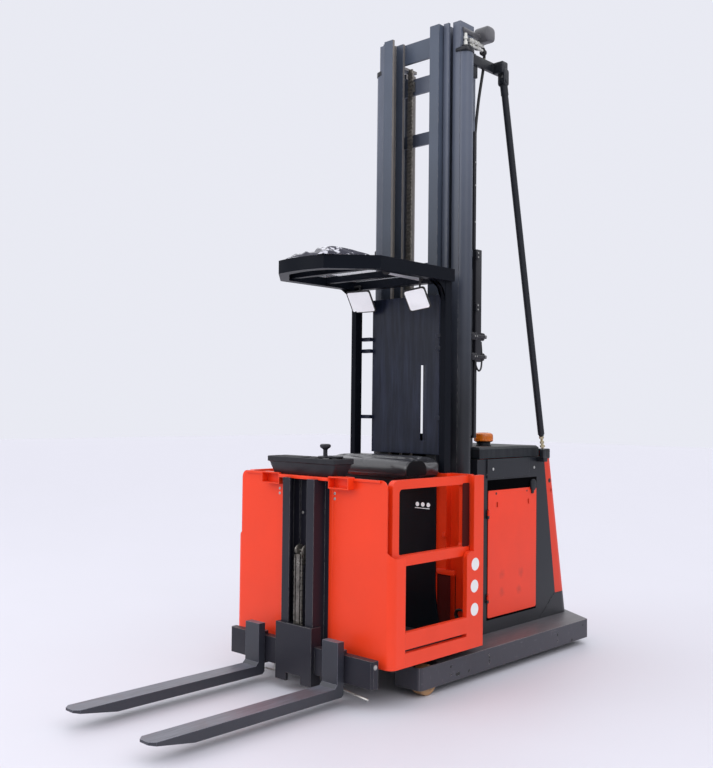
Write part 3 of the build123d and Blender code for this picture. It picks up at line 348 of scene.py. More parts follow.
looks = dict(Colour=rgb(0.011, 0.011, 0.014), Rubbed=rgb(0.030, 0.030, 0.036), Gloss=0.26)
materials["padCover"] = finish("padCover", padGrain, looks, 0.0006, 0.25, Coat_Weight=0.6,
                               Coat_Roughness=0.20)
# the caps' cover: a darker copy of the pad's cover with little specular, partly the caps' own black and
# partly painted shade
looks = dict(Colour=rgb(0.003, 0.003, 0.004), Rubbed=rgb(0.007, 0.007, 0.009), Gloss=0.42)
materials["capBlackAndShade"] = finish("capBlackAndShade", padGrain, looks, 0.0006, 0.25, Specular_IOR_Level=0.08)
# the panel's white dots also glow: painted light that lifts them out of the shade
lit = materials["panelWhiteGlow"].node_tree.nodes["Principled BSDF"].inputs
lit["Emission Color"].default_value = rgb(0.9, 0.95, 1.0)
lit["Emission Strength"].default_value = 0.35


def clearFinish(name, colour, roughness, through, paintedGlints=0.0, **shaderValues):
    # glass or clear plastic: a faint cloud in the colour, white painted highlights along the folds, a ripple
    # in the surface
    made = bpy.data.materials.new(name)
    made.use_nodes = True
    tree = made.node_tree
    shader = tree.nodes["Principled BSDF"]
    place = add(tree, "ShaderNodeTexCoord").node.outputs["Object"]
    cloud = noise(tree, place, 14.0, 4.0)
    # painted highlights: white mixed into the colour along the folds of the film
    creaseGlint = noise(tree, stretched(tree, place, (7.0, 32.0, 32.0)), 1.0, 5.0, 0.7)
    creaseGlint = times(tree, ramp(tree, creaseGlint, 0.55, 16.0), paintedGlints)
    tinted = mixed(tree, cloud, colour, tuple(0.8 * c for c in colour[:3]) + (1.0,))
    tree.links.new(mixed(tree, creaseGlint, tinted, rgb(0.80, 0.80, 0.86)), shader.inputs["Base Color"])
    tree.links.new(sums(tree, "MULTIPLY_ADD", cloud, 0.12, roughness), shader.inputs["Roughness"])
    bump = add(tree, "ShaderNodeBump",
               {"Height": noise(tree, place, 30.0, 3.0), "Strength": 0.2, "Distance": 0.001})
    tree.links.new(bump, shader.inputs["Normal"])
    shader.inputs["Transmission Weight"].default_value = through
    for key, value in shaderValues.items():
        shader.inputs[key.replace("_", " ")].default_value = value
    return made


# Round marks on an outer side face: blank white discs on the cabin posts, hand smudges on the battery doors
marks = dict(discs=((-212.0, 728.0), (-219.0, 596.0), (-217.0, 455.0)), discRadius=0.040, discFace=0.6590,
             smudges=((469.0, 553.0), (701.0, 540.0), (471.0, 431.0), (678.0, 425.0)), smudgeRadius=0.075,
             smudgeFace=0.3880)


def markedSide(name, centres, radius, soft, face, colour):
    # share = (radius - distance to the nearest centre) / soft, only where |x| is beyond the face
    tree = materials[name].node_tree
    shader = tree.nodes["Principled BSDF"]
    place = add(tree, "ShaderNodeTexCoord").node.outputs["Object"]
    xyz = add(tree, "ShaderNodeSeparateXYZ", {0: place}).node.outputs
    flat = add(tree, "ShaderNodeCombineXYZ", {1: xyz[1], 2: xyz[2]})
    nearest = 10.0
    for y, z in centres:
        spot = (0.0, (y + mastFront) / 1000.0, z / 1000.0)
        away = add(tree, "ShaderNodeVectorMath", {0: flat, 1: spot},
                   operation="DISTANCE").node.outputs["Value"]
        nearest = sums(tree, "MINIMUM", away, nearest)
    ragged = sums(tree, "MULTIPLY_ADD", noise(tree, place, 38.0, 5.0, 0.7), -soft, radius)
    share = sums(tree, "DIVIDE", sums(tree, "SUBTRACT", ragged, nearest), soft, clamp=True)
    side = sums(tree, "GREATER_THAN", sums(tree, "ABSOLUTE", xyz[0]), face)
    before = shader.inputs["Base Color"].links[0].from_socket
    share = times(tree, times(tree, share, side), colour[3])
    tree.links.new(mixed(tree, share, before, colour[:3] + (1.0,)), shader.inputs["Base Color"])


markedSide("frameRed", marks["discs"], marks["discRadius"], 0.0015, marks["discFace"],
           (0.78, 0.78, 0.78, 1.0))
markedSide("doorRed", marks["smudges"], marks["smudgeRadius"], 0.07, marks["smudgeFace"],
           (0.40, 0.03, 0.02, 0.75))

materials["amberLens"] = clearFinish("amberLens", rgb(0.95, 0.22, 0.01), 0.14, 0.35)
materials["clearPane"] = clearFinish("clearPane", rgb(0.85, 0.87, 0.90), 0.02, 0.0, Alpha=0.30)
materials["crumpledFilm"] = clearFinish("crumpledFilm", rgb(0.010, 0.010, 0.030), 0.06, 0.0, 0.8)
# mirror faces: white colour and a faint glow, a painted reflection
materials["mirrorPaintedReflection"] = clearFinish("mirrorPaintedReflection", rgb(0.95, 0.95, 0.95), 0.03, 0.0, Metallic=0.1,
                                       Emission_Color=rgb(0.90, 0.92, 1.0), Emission_Strength=0.22)
print("materials made:", len(materials))

# which CAD nodes wear each finish
wearers = dict(
    skinRed="front_skins", frameRed="cabin_frame gate_left gate_right", hoodRed="rear_hood",
    doorRed="battery_door_left battery_door_right", railSlate="outer_mast middle_mast lift_barrels",
    innerSlate="inner_mast", towerSlate="mast_strut tower_frame cabin_floor",
    guardSlate="guard_frame mast_carriage mast_head_box", chassisSlate="chassis",
    blockSlate="aux_mast fork_carriage", forkSteel="fork_left fork_right",
    lidPlastic="tower_lid battery_block", blackPlastic="console steering_disc centre_cover rear_duct",
    shieldPlastic="back_shield", lampFace="work_lamp", chainGrease="lift_chains aux_chains",
    rodChrome="lift_rods aux_rod", amberLens="beacon", wheelTan="load_tyre_left load_tyre_right",
    softRubber="drive_tyre", hubMetal="load_hub_left load_hub_right drive_hub drive_unit",
    padCover="seat_pad", clearPane="guard_panes", mirrorPaintedReflection="mirrors",
)
for look, nodeNames in wearers.items():
    for nodeName in nodeNames.split():
        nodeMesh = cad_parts[nodeName].data
        nodeMesh.materials.clear()
        nodeMesh.materials.append(materials[look])
print("CAD nodes dressed:", len(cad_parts))


# A shape is (points, [face arrays]); points are in millimetres from the mast's front plane.
def gridFaces(rows, cols, wrap=True):
    # the four corners of every cell in a grid of points, the last column joined to the first if it wraps
    r, c = np.meshgrid(np.arange(rows - 1), np.arange(cols if wrap else cols - 1), indexing="ij")
    a, b = r * cols + c, r * cols + (c + 1) % cols
    return np.stack((a, b, b + cols, a + cols), -1).reshape(-1, 4)


def outward(points, faces):
    # six times the volume is the sum over triangles of p0 . (p1 x p2); a negative sum means inside out
    volume = 0.0
    for f in faces:
        for k in range(1, f.shape[1] - 1):
            p, q, r = points[f[:, 0]], points[f[:, k]], points[f[:, k + 1]]
            volume += np.einsum("ij,ij->", p, np.cross(q, r))
    return points, ([f[:, ::-1] for f in faces] if volume < 0 else faces)


def loft(rings):
    # rings (n, m, 3): closed loops joined one to the next, each end closed by a fan to its middle
    n, m, _ = rings.shape
    points = np.concatenate((rings.reshape(-1, 3), rings[0].mean(0)[None], rings[-1].mean(0)[None]))
    i = np.arange(m)
    j = (i + 1) % m
    first = np.stack((np.full(m, n * m), j, i), -1)
    last = np.stack((np.full(m, n * m + 1), (n - 1) * m + i, (n - 1) * m + j), -1)
    return outward(points, [gridFaces(n, m), np.concatenate((first, last))])


def turned(centre, axis, profile, sides=28, flutes=0, depth=0.0):
    # profile rows (distance along axis, radius); radius is cut by depth * cos(flutes * angle)
    profile = np.array(profile, float)
    axis = np.array(axis, float) / np.linalg.norm(axis)
    helper = np.array((0, 0, 1.0)) if abs(axis[2]) < 0.9 else np.array((1.0, 0, 0))
    u = np.cross(axis, helper)
    u /= np.linalg.norm(u)
    v = np.cross(axis, u)
    t = np.linspace(0, 2 * math.pi, sides, endpoint=False)
    radius = profile[:, 1, None] + depth * np.cos(flutes * t) * (profile[:, 1, None] > 1)
    ring = np.cos(t)[None, :, None] * u + np.sin(t)[None, :, None] * v
    rings = np.array(centre, float) + profile[:, 0, None, None] * axis + radius[..., None] * ring
    return loft(rings)


def spun(centre, axis, profile, *rest):
    # a turned solid: the first and last rows of the profile also run in to 0.1 mm from the axis
    return turned(centre, axis, [(profile[0][0], 0.1), *profile, (profile[-1][0], 0.1)], *rest)


def roundRect(halfW, halfH, corner, steps=5):
    # each corner is a quarter circle of that radius about its own centre
    t = np.linspace(0, math.pi / 2, steps)
    turn = t[None, :] + np.arange(4)[:, None] * math.pi / 2
    sx, sy = np.array((1, -1, -1, 1.0))[:, None], np.array((1, 1, -1, -1.0))[:, None]
    x = sx * (halfW - corner) + corner * np.cos(turn)
    y = sy * (halfH - corner) + corner * np.sin(turn)
    return np.stack((x.ravel(), y.ravel()), -1)


def slab(lo, hi, corner=6.0, edge=2.0, along=2, steps=5):
    # a rounded rectangle carried along one axis, drawn in at both ends by a quarter circle of radius edge
    lo, hi = np.array(lo, float), np.array(hi, float)
    side = [k for k in range(3) if k != along]
    half = (hi - lo) / 2
    corner = min(corner, half[side[0]] * 0.98, half[side[1]] * 0.98)
    edge = min(edge, corner * 0.9, half[along] * 0.9)
    turn = np.linspace(0, math.pi / 2, 4)
    turn = np.concatenate((turn[::-1], turn))
    travel = np.repeat((-1, 1), 4) * (half[along] - edge * (1 - np.sin(turn)))
    inset = edge * (1 - np.cos(turn))
    outline = np.stack([roundRect(half[side[0]] - d, half[side[1]] - d, corner - d, steps) for d in inset])
    rings = np.zeros(outline.shape[:2] + (3,))
    rings[..., side[0]] = outline[..., 0]
    rings[..., side[1]] = outline[..., 1]
    rings[..., along] = travel[:, None]
    return loft(rings + (lo + hi) / 2)


def curve(points, count=40):
    # a smooth line through the points: cubic pieces whose slope at a point is that between its neighbours
    p = np.array(points, float)
    p = np.concatenate((2 * p[:1] - p[1:2], p, 2 * p[-1:] - p[-2:-1]))
    t = np.linspace(0, len(p) - 3 - 1e-6, count)
    i, f = t.astype(int), (t % 1)[:, None]
    a, b, c, d = p[i], p[i + 1], p[i + 2], p[i + 3]
    return 0.5 * (2 * b + (c - a) * f + (2 * a - 5 * b + 4 * c - d) * f**2 + (3 * b - a - 3 * c + d) * f**3)


def pipe(path, radius, sides=12):
    # circles across the path; each one's plane is square to the slope there
    slope = np.gradient(path, axis=0)
    slope /= np.linalg.norm(slope, axis=1)[:, None]
    spare = np.array((0.31, 0.17, 0.93)) if abs(slope[:, 2]).mean() < 0.8 else np.array((0.95, 0.27, 0.1))
    u = np.cross(slope, spare)
    u /= np.linalg.norm(u, axis=1)[:, None]
    v = np.cross(slope, u)
    t = np.linspace(0, 2 * math.pi, sides, endpoint=False)
    radius = np.broadcast_to(np.array(radius, float), (len(path),))[:, None, None]
    ring = np.cos(t)[None, :, None] * u[:, None] + np.sin(t)[None, :, None] * v[:, None]
    return loft(path[:, None] + radius * ring)


def hexBolt(centre, axis, radius=8.0, height=6.0):
    # a six-sided head with a chamfered top on a thin washer
    washer = spun(centre, axis, [(0, radius * 1.45), (1.2, radius * 1.45), (1.6, radius * 1.3)], 20)
    head = spun(centre, axis, [(1, radius), (height * 0.8, radius), (height, radius * 0.8)], 6)
    return [washer, head]


def repeated(shape, offsets):
    # the same shape moved to each offset, as one set of points and faces
    points, faces = shape
    count = len(points)
    moved = (points[None] + np.array(offsets, float)[:, None]).reshape(-1, 3)
    shift = np.arange(len(offsets))[:, None, None] * count
    return moved, [(f[None] + shift).reshape(-1, f.shape[1]) for f in faces]


def mirrored(shape):
    points, faces = shape
    return points * (-1, 1, 1), [f[:, ::-1] for f in faces]


def both(shapes):
    # the shapes, and the same ones on the other side
    return shapes + [mirrored(s) for s in shapes]


def makePiece(name, shapes, material, body, replaces=(), sharp=35.0):
    points, faces, at = [], [], 0
    for p, fs in shapes:
        points.append(p)
        faces.extend((f + at).tolist() for f in fs)
        at += len(p)
    points = np.concatenate(points)
    points = (points + (0, mastFront, 0)) / 1000.0
    mesh = bpy.data.meshes.new(name)
    mesh.from_pydata(points.tolist(), [], [f for block in faces for f in block])
    mesh.polygons.foreach_set("use_smooth", np.ones(len(mesh.polygons), bool))
    mesh.set_sharp_from_angle(angle=math.radians(sharp))
    mesh.materials.append(materials[material])
    shown = bpy.data.objects.new(name, mesh)
    bpy.context.scene.collection.objects.link(shown)
    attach(shown, body)
    if replaces:
        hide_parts(*replaces)
    return shown


# Leaf chains: stadium-shaped plates on pins, plates of one pitch set between those of the next
chain = dict(pitch=25.4, width=17.0, plate=4.0, pinRadius=4.2, liftX=(120.0, 160.0), liftY=85.0,
             lift=(262.0, 4048.0), auxX=(25.0, 33.0), auxPitch=19.0, auxWidth=14.0, auxPlate=2.4,
             auxY=-1035.0, auxArc=31.5, auxTop=812.0, wheelZ=822.0)


def leafChain(xs, y, z0, z1, pitch, width, plate):
    # plate outline: two half circles a pitch apart; every second plate in x is half a turn further up
    t = np.linspace(0, 2 * math.pi, 10, endpoint=False) + math.pi / 10
    outline = np.stack((np.sin(t) * width / 2, np.cos(t) * width / 2 + np.sign(np.cos(t)) * pitch / 2), -1)
    ring = np.zeros((2, 10, 3))
    ring[..., 1:] = outline
    ring[0, :, 0], ring[1, :, 0] = -plate / 2, plate / 2
    i = np.arange(10)
    sides = np.stack((i, (i + 1) % 10, (i + 1) % 10 + 10, i + 10), -1)
    link = outward(ring.reshape(-1, 3), [sides, i[None, ::-1], i[None] + 10])
    count = int((z1 - z0 - width) / pitch)
    levels = z0 + width / 2 + pitch / 2 + np.arange(count) * pitch
    rows = np.arange(xs[0] + plate / 2, xs[1] - plate / 4, plate * 1.12)
    offsets = [(x, y, z) for k, x in enumerate(rows) for z in levels[k % 2::2]]
    pins = [(0, y, z - pitch / 2) for z in levels]
    r, length = chain["pinRadius"], xs[1] - xs[0] + 4.0
    pin = spun((xs[0] - 2.0, 0, 0), (1, 0, 0), [(0, r), (length, r)], 8)
    return [repeated(link, offsets), repeated(pin, pins)]


shapes = leafChain(chain["liftX"], chain["liftY"], *chain["lift"], chain["pitch"], chain["width"],
                   chain["plate"])
shapes.append(slab((118, 93, 3880), (162, 110, 3950), 4, 2, 0))
makePiece("liftChainLinks", both(shapes), "chainGrease", "mast_middle", ("lift_chains",))
shapes = []
auxLink = chain["auxPitch"], chain["auxWidth"], chain["auxPlate"]
for way, z0 in ((-1, 330.0), (1, 260.0)):
    y = chain["auxY"] + way * chain["auxArc"]
    shapes += leafChain(chain["auxX"], y, z0, chain["auxTop"], *auxLink)
    if way < 0:
        shapes += leafChain((-14.0, 14.0), y, z0 + 60, chain["auxTop"], *auxLink)
arc = np.linspace(0, math.pi, 12)
over = np.stack((0 * arc, chain["auxY"] - chain["auxArc"] * np.cos(arc),
                 chain["wheelZ"] + chain["auxArc"] * np.sin(arc)), -1)
shapes.append(pipe(over + (29, 0, 0), 4.5, 8))
makePiece("auxChainLinks", both(shapes), "chainGrease", "aux_lift", ("aux_chains",))
rodTop = [spun((0, -1035, 740), (0, 0, 1), [(-80, 17), (40, 17), (41, 24), (58, 24), (60, 17), (72, 17)], 28)]
for x in (-36.5, 21.5):
    rodTop.append(spun((x, -1035, 822), (1, 0, 0),
                       [(0, 31), (2, 31), (4, 25.5), (11, 25.5), (13, 31), (15, 31)], 32))
rodTop.append(spun((-38, -1035, 822), (1, 0, 0), [(0, 8), (76, 8)], 12))
makePiece("auxRodTop", rodTop, "chainGrease", "aux_lift", ("aux_rod",))
print("chains done")

# Pad: a flat cushion with a rounded front roll
pad = dict(x0=-398.0, x1=402.0, y0=-430.0, y1=-218.0, z0=1236.0, z1=1356.0, crown=13.0,
           rollX=(-330.0, 402.0), rollY=-462.0, rollZ=1306.0, rollHalf=(92.0, 45.0), rollCorner=62.0,
           swell=0.006)


def padShape(p):
    # a superellipse in x and y, its height z0..z1 raised by crown * (1 - s^2) towards the middle
    u = np.linspace(0, 2 * math.pi, 96, endpoint=False)
    v = np.linspace(-math.pi / 2, math.pi / 2, 25)[1:-1]
    power = lambda w, n: np.sign(w) * np.abs(w) ** n
    cu, su = power(np.cos(u), 0.16), power(np.sin(u), 0.24)
    cv, sv = power(np.cos(v), 0.22)[:, None], power(np.sin(v), 0.45)[:, None]
    x = (p["x0"] + p["x1"]) / 2 + (p["x1"] - p["x0"]) / 2 * cu * cv
    y = (p["y0"] + p["y1"]) / 2 + (p["y1"] - p["y0"]) / 2 * su * cv
    z = (p["z0"] + p["z1"]) / 2 + (p["z1"] - p["z0"]) / 2 * sv + p["crown"] * (1 - cv**2) * (sv > 0)
    return loft(np.stack(np.broadcast_arrays(x, y, z), -1))


def rollOutline(p, inset, steps=9):
    # the roll's outline about its middle: large quarter circles at the top corners, small ones below
    w, h = p["rollHalf"][0] - inset, p["rollHalf"][1] - inset
    t = np.linspace(0, math.pi / 2, steps)
    big, small = p["rollCorner"] - inset * 0.5, 14.0
    y = np.concatenate((w - big + big * np.cos(t), -(w - big) - big * np.sin(t),
                        -(w - small) - small * np.cos(t), w - small + small * np.sin(t)))
    z = np.concatenate((h - big + big * np.sin(t), h - big + big * np.cos(t),
                        -(h - small) - small * np.sin(t), -(h - small) - small * np.cos(t)))
    return p["rollY"] + y, p["rollZ"] + z


def rollShape(p, x0, x1, round0, steps=3):
    # the outline carried along x, drawn in by round0 at both ends
    t = np.linspace(0, math.pi / 2, 5)
    inset = np.concatenate((round0 * (1 - np.sin(t)), np.zeros(steps), round0 * (1 - np.sin(t[::-1]))))
    x = np.concatenate((x0 + round0 * (1 - np.cos(t)),
                        np.linspace(x0 + round0, x1 - round0, steps + 2)[1:-1],
                        x1 - round0 * (1 - np.cos(t[::-1]))))
    rings = []
    for d, spot in zip(inset, x):
        y, z = rollOutline(p, d)
        rings.append(np.stack((np.full(len(y), spot), y, z), -1))
    return loft(np.stack(rings))


def swollen(shown, voxel, pressure, limit):
    # cloth blown up from inside for 20 frames; no point may move further than limit
    scene = bpy.context.scene
    bpy.context.view_layer.objects.active = shown
    remesh = shown.modifiers.new("even", "REMESH")
    remesh.mode, remesh.voxel_size = "VOXEL", voxel
    bpy.ops.object.modifier_apply(modifier="even")
    mesh = shown.data
    before = np.zeros(len(mesh.vertices) * 3)
    mesh.vertices.foreach_get("co", before)
    cloth = shown.modifiers.new("blown", "CLOTH")
    cloth.settings.use_pressure = True
    cloth.settings.uniform_pressure_force = pressure
    cloth.settings.effector_weights.gravity = 0
    cloth.settings.quality = 4
    for k in range(1, 21):
        scene.frame_set(k)
    bpy.context.view_layer.update()
    blown = shown.evaluated_get(bpy.context.evaluated_depsgraph_get())
    after = np.zeros(len(before))
    blown.data.vertices.foreach_get("co", after)
    shown.modifiers.remove(cloth)
    move = (after - before).reshape(-1, 3)
    far = np.linalg.norm(move, axis=1)[:, None]
    move *= np.minimum(1.0, limit / np.maximum(far, 1e-9))
    mesh.vertices.foreach_set("co", (before.reshape(-1, 3) + move).ravel())
    mesh.update()
    mesh.polygons.foreach_set("use_smooth", np.ones(len(mesh.polygons), bool))
    scene.frame_set(1)


cushion = makePiece("padCushion", [padShape(pad)], "padCover", "cabin", ("seat_pad",), 60)
roll = makePiece("padRoll", [rollShape(pad, pad["rollX"][0] + 9, pad["rollX"][1] - 9, 6.0, 24)], "padCover",
                 "cabin", (), 50)
caps = [rollShape(pad, pad["rollX"][1] - 12, pad["rollX"][1], 4.0),
        rollShape(pad, pad["rollX"][0], pad["rollX"][0] + 12, 4.0)]
makePiece("padCaps", caps, "capBlackAndShade", "cabin", (), 50)
for soft in (cushion, roll):
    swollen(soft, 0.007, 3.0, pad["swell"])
print("pad done")

# Steering disc with its mushroom knob, and the console's small controls
console = dict(discX=150.0, discY=-960.0, discZ=1374.0, knobY=-1005.0, middle=(-23.0, -964.0),
               levels=((1264, 250, 56, 10), (1268, 254, 60, 12), (1330, 284, 70, 14), (1338, 287, 74, 16),
                       (1339, 290, 80, 14), (1342, 293, 84, 14), (1368, 293, 84, 14), (1372, 290, 81, 12),
                       (1372, 285, 76, 10), (1366, 281, 72, 8), (1366, 200, 40, 5)))
# the body's outline is a rounded rectangle at each level (height, half width, half depth, corner)
rings = [np.column_stack((roundRect(w, h, r, 6) + console["middle"], np.full(24, z)))
         for z, w, h, r in console["levels"]]
makePiece("consoleBody", [loft(np.array(rings, float))], "blackPlastic", "cabin",
          ("console",))
disc = spun((console["discX"], console["discY"], console["discZ"]), (0, 0, 1),
            [(-7.5, 9), (0, 9), (0.5, 70), (2, 75), (7, 76), (10, 73), (10.5, 60), (8.5, 56), (8.5, 20),
             (11, 17)], 48)
knob = turned((console["discX"], console["knobY"], console["discZ"] + 8), (0, 0, 1),
              [(0, 0.1), (0, 22), (4, 17), (8, 13), (40, 12.5), (46, 17), (53, 28), (59, 32), (66, 32.5),
               (71, 30), (75, 22), (74, 13), (73, 0.1)], 32)
makePiece("steeringWheel", [disc, knob], "blackPlastic", "steering", ("steering_disc",))
controls = [slab((-250, -1020, 1365), (-60, -905, 1373), 12, 3),
            slab((-230, -1004, 1372), (-120, -930, 1375), 6, 1.5),
            slab((20, -1000, 1365), (60, -925, 1373), 8, 3)]
controls += [spun((x, -925, 1365), (0, 0, 1), [(0, 11), (6, 10), (8, 7)], 20) for x in (-30, -5)]
makePiece("consoleControls", controls, "softRubber", "cabin")
print("console done")

# Beacon: fluted amber lens on a dark base
beacon = dict(x=200.0, y=507.0, z=1418.0)
lens = spun((beacon["x"], beacon["y"], beacon["z"] + 34), (0, 0, 1),
            [(-1, 66), (3, 67), (38, 66), (48, 62), (55, 50), (58, 28)], 96, 24, 0.6)
base = spun((beacon["x"], beacon["y"], beacon["z"]), (0, 0, 1),
            [(0, 52), (6, 52), (8, 48), (24, 48), (30, 63), (34, 65)], 48)
makePiece("beaconLens", [lens], "amberLens", "battery_lid", ("beacon",))
makePiece("beaconBase", [base], "blackPlastic", "battery_lid")

# Mirrors: a rounded plate in a shallow shell, tilted down towards the operator
mirrorRows = (
    ((345.0, -410.0, 2350.0), (0.942, 0.294, 0.161), (-0.032, 0.570, -0.821), 74.0, 76.0),
    ((-300.0, -225.0, 2395.0), (0.971, 0.237, 0.017), (-0.173, 0.588, -0.791), 92.0, 86.0),
)


def tiltedPlate(centre, across, down, halfW, halfH, levels, corner):
    # rounded outlines stepped along the plate's own normal; levels rows (height, inset)
    across = np.array(across) / np.linalg.norm(across)
    normal = np.cross(across, down)
    normal /= np.linalg.norm(normal)
    down = np.cross(normal, across)
    rings = np.stack([roundRect(halfW - d, halfH - d, max(corner - d, 1.0), 6) for _, d in levels])
    heights = np.array([h for h, _ in levels])
    spot = rings[..., :1] * across + rings[..., 1:] * down + heights[:, None, None] * normal
    return loft(spot + np.array(centre))


ball = [(-16 * math.cos(t), 0.1 + 16 * math.sin(t)) for t in np.linspace(0, math.pi, 9)]
shells, faces = [], []
for centre, across, down, halfW, halfH in mirrorRows:
    shells.append(tiltedPlate(centre, across, down, halfW, halfH,
                              [(-5, 6), (-6, 2), (-4, 0), (2, 0), (12, 10), (15, 24)], 16))
    faces.append(tiltedPlate(centre, across, down, halfW - 9, halfH - 9,
                             [(-6.6, 0.5), (-7.0, 0), (-5.5, 0), (-5, 0.5)], 13))
    x, y, z = centre
    side = math.copysign(1.0, x)
    top = np.array((x + side * 18, y + 4, 2496))
    shells.append(pipe(curve([(x, y + 14, z + 8), (x, y + 22, z + 50), top - (0, 0, 40), top], 20), 6.0, 10))
    shells.append(turned((x, y + 14, z + 8), (0, 0, 1), ball, 16))
    shells.append(pipe(np.linspace((x + side * 6, y + 4, 2500), (side * 368, y + 4, 2500), 6), 8.0, 10))
makePiece("mirrorShells", shells, "softRubber", "cabin", ("mirrors",))
makePiece("mirrorFaces", faces, "mirrorPaintedReflection", "cabin")

# Work lamp: a grey tube in two caps under the guard
lampEnds = np.array(((296.0, -636.0, 2500.0), (262.0, -300.0, 2500.0)))
lampWay = (lampEnds[1] - lampEnds[0]) / np.linalg.norm(lampEnds[1] - lampEnds[0])
tube = pipe(np.linspace(lampEnds[0], lampEnds[1], 8), 17.0, 20)
ends = [pipe(np.linspace(end, end + way * 26, 3), 20.0, 20)
        for end, way in ((lampEnds[0], -lampWay), (lampEnds[1], lampWay))]
makePiece("lampTube", [tube], "lampFace", "cabin", ("work_lamp",))
makePiece("lampCaps", ends, "softRubber", "cabin")

# Curved web where each guard post meets the ring
webR = dict(radius=120.0, x0=369.0, x1=405.0, front=-204.0, under=2480.0, into=30.0)


def postWeb(w):
    # the corner between post and ring filled to a quarter circle, carried from x0 to x1
    t = np.linspace(0, math.pi / 2, 14)
    y = w["front"] - w["radius"] + w["radius"] * np.sin(t)
    z = w["under"] - w["radius"] + w["radius"] * np.cos(t)
    back, above = w["front"] + w["into"], w["under"] + w["into"]
    y = np.concatenate((y, [back, back, w["front"] - w["radius"]]))
    z = np.concatenate((z, [w["under"] - w["radius"], above, above]))
    rings = np.stack([np.stack((np.full(len(y), x), y, z), -1) for x in (w["x0"], w["x1"])])
    return loft(rings)


makePiece("guardWebs", both([postWeb(webR)]), "guardSlate", "cabin")

# Clear film left crumpled on the guard
film = dict(x0=-120.0, x1=380.0, y0=-1094.0, y1=-780.0, slant=-215.0, z=2562.0, lift=92.0,
            ringFront=-1107.0, ringTurn=194.0, ringSlope=1.089, inside=14.0)


def crumpled(f, cols=80, rows=64):
    # height is a bump over the sheet times folded waves: the distance of each wave from its nearest crest
    u, v = np.meshgrid(np.linspace(0, 1, cols), np.linspace(0, 1, rows))
    fold = lambda w: np.abs((w + 0.5) % 1.0 - 0.5) * 2
    waves = (0.36 * fold(1.3 * u + 0.8 * v + 0.30) + 0.24 * fold(2.9 * u - 1.7 * v + 0.55)
             + 0.22 * fold(1.1 * u + 3.9 * v) + 0.18 * fold(6.3 * u + 4.1 * v + 0.3))
    hill = np.sin(math.pi * u) ** 0.5 * np.sin(math.pi * v) ** 0.35
    x = f["x0"] + (f["x1"] - f["x0"]) * u + f["slant"] * v + 8 * np.sin(9 * v)
    # the front edge follows the ring, which turns back outside |x| = ringTurn
    edge = np.maximum(f["y0"], f["ringFront"] + f["ringSlope"] * (np.abs(x) - f["ringTurn"]) + f["inside"])
    y = edge + (f["y1"] - edge) * v + 6 * np.sin(8 * u)
    z = f["z"] + f["lift"] * hill * waves
    points = np.stack((x, y, z), -1).reshape(-1, 3)
    return points, [gridFaces(rows, cols, False)]


filmSheet = makePiece("guardFilm", [crumpled(film)], "crumpledFilm", "cabin", (), 7)

# Bolts, and black discs in the holes of the chassis, doors and hood: the holes are real, their black is
# painted shade
cabBolts = []
for x, z, r in ((-262.0, 1171.0, 6), (-262.0, 1141.0, 6), (212.0, 1170.0, 6), (212.0, 1139.0, 6),
                (-54.0, 1038.0, 7), (46.0, 1038.0, 7), (-54.0, 560.0, 7), (46.0, 560.0, 7)):
    cabBolts += hexBolt((x, -985, z), (0, -1, 0), r, r - 1)
makePiece("cabinBolts", cabBolts, "boltMetal", "cabin")
carriageBolts = [s for half in hexBolt((604.0, -1053.0, 250.0), (1, 0, 0), 10, 7) for s in both([half])]
makePiece("carriageBolts", carriageBolts, "boltMetal", "carriage")
truckBolts = []
for x, y, z in ((393.0, 352.0, 1270.0), (385.2, 868.0, 1263.0)):
    truckBolts += [s for half in hexBolt((x, y, z), (1, 0, 0), 7, 5) for s in both([half])]
makePiece("truckBolts", truckBolts, "boltMetal", "truck")
# black discs in the holes: painted shade inside them
holes = []
for x, y, z, r in ((625, -401, 137, 8), (625, -221, 77, 9), (625, -5, 122, 7), (625, -5, 100, 7),
                   (625, 800, 127, 8), (625, 990, 60, 12), (625, 1141, 141, 7), (389, 396, 1103, 9),
                   (389, 771, 1103, 7), (386, 1071, 1160, 16)):
    ring = spun((x, y, z), (1, 0, 0), [(-3, r), (0.3, r), (0.6, r * 0.9)], 20)
    holes += both([ring])
slot = slab((622, -352, 72), (625.6, -310, 90), 8, 0.3, 0)
makePiece("holeShadeDiscs", holes + both([slot]), "softRubber", "truck")

# Red plate that ties the skins under the console, the edge of a skin, and dark strips on the gates: painted
# shade where each gate meets its post
plates = [slab((-212, -1044, 1256), (212, -1015, 1264), 5, 2, 0),
          slab((-212, -1046, 1244), (212, -1040, 1264), 2.5, 1.2, 0)]
makePiece("consolePlate", plates, "skinRed", "cabin")
makePiece("skinEdge", [slab((168, -985.5, 264), (201, -982.0, 1236), 1.6, 0.8, 2)], "skinRed", "cabin")
for side, word in ((-1, "L"), (1, "R")):
    strip = slab((624.5, -302, 838), (627.5, -233, 1222), 12, 0.8, 0)
    makePiece("gateShadeStrip" + word, [strip if side > 0 else mirrored(strip)], "shadeAndSeamRed",
              "gate_" + word.lower())

# Light rods under the fork bar, a strip at the shield and a tag between the channels
rods = [pipe(curve([(329, -1024, 120), (329, -1026, 82), (340, -1027, 73), (420, -1027, 62),
                    (529, -1027, 52)], 24), 6.0, 10),
        pipe(curve([(-240, -1024, 120), (-240, -1026, 80), (-250, -1027, 70), (-357, -1027, 64)], 20), 6.0,
             10)]
makePiece("slitStrip", [slab((156, -114, 1456), (184, -108.5, 1961), 3, 1, 2)], "shieldPlastic", "cabin")
makePiece("barRods", rods, "zincFitting", "carriage")
makePiece("channelTag", [slab((-44, -987.5, 585), (-30, -985.2, 628), 2, 0.5, 1)], "discWhite", "cabin")

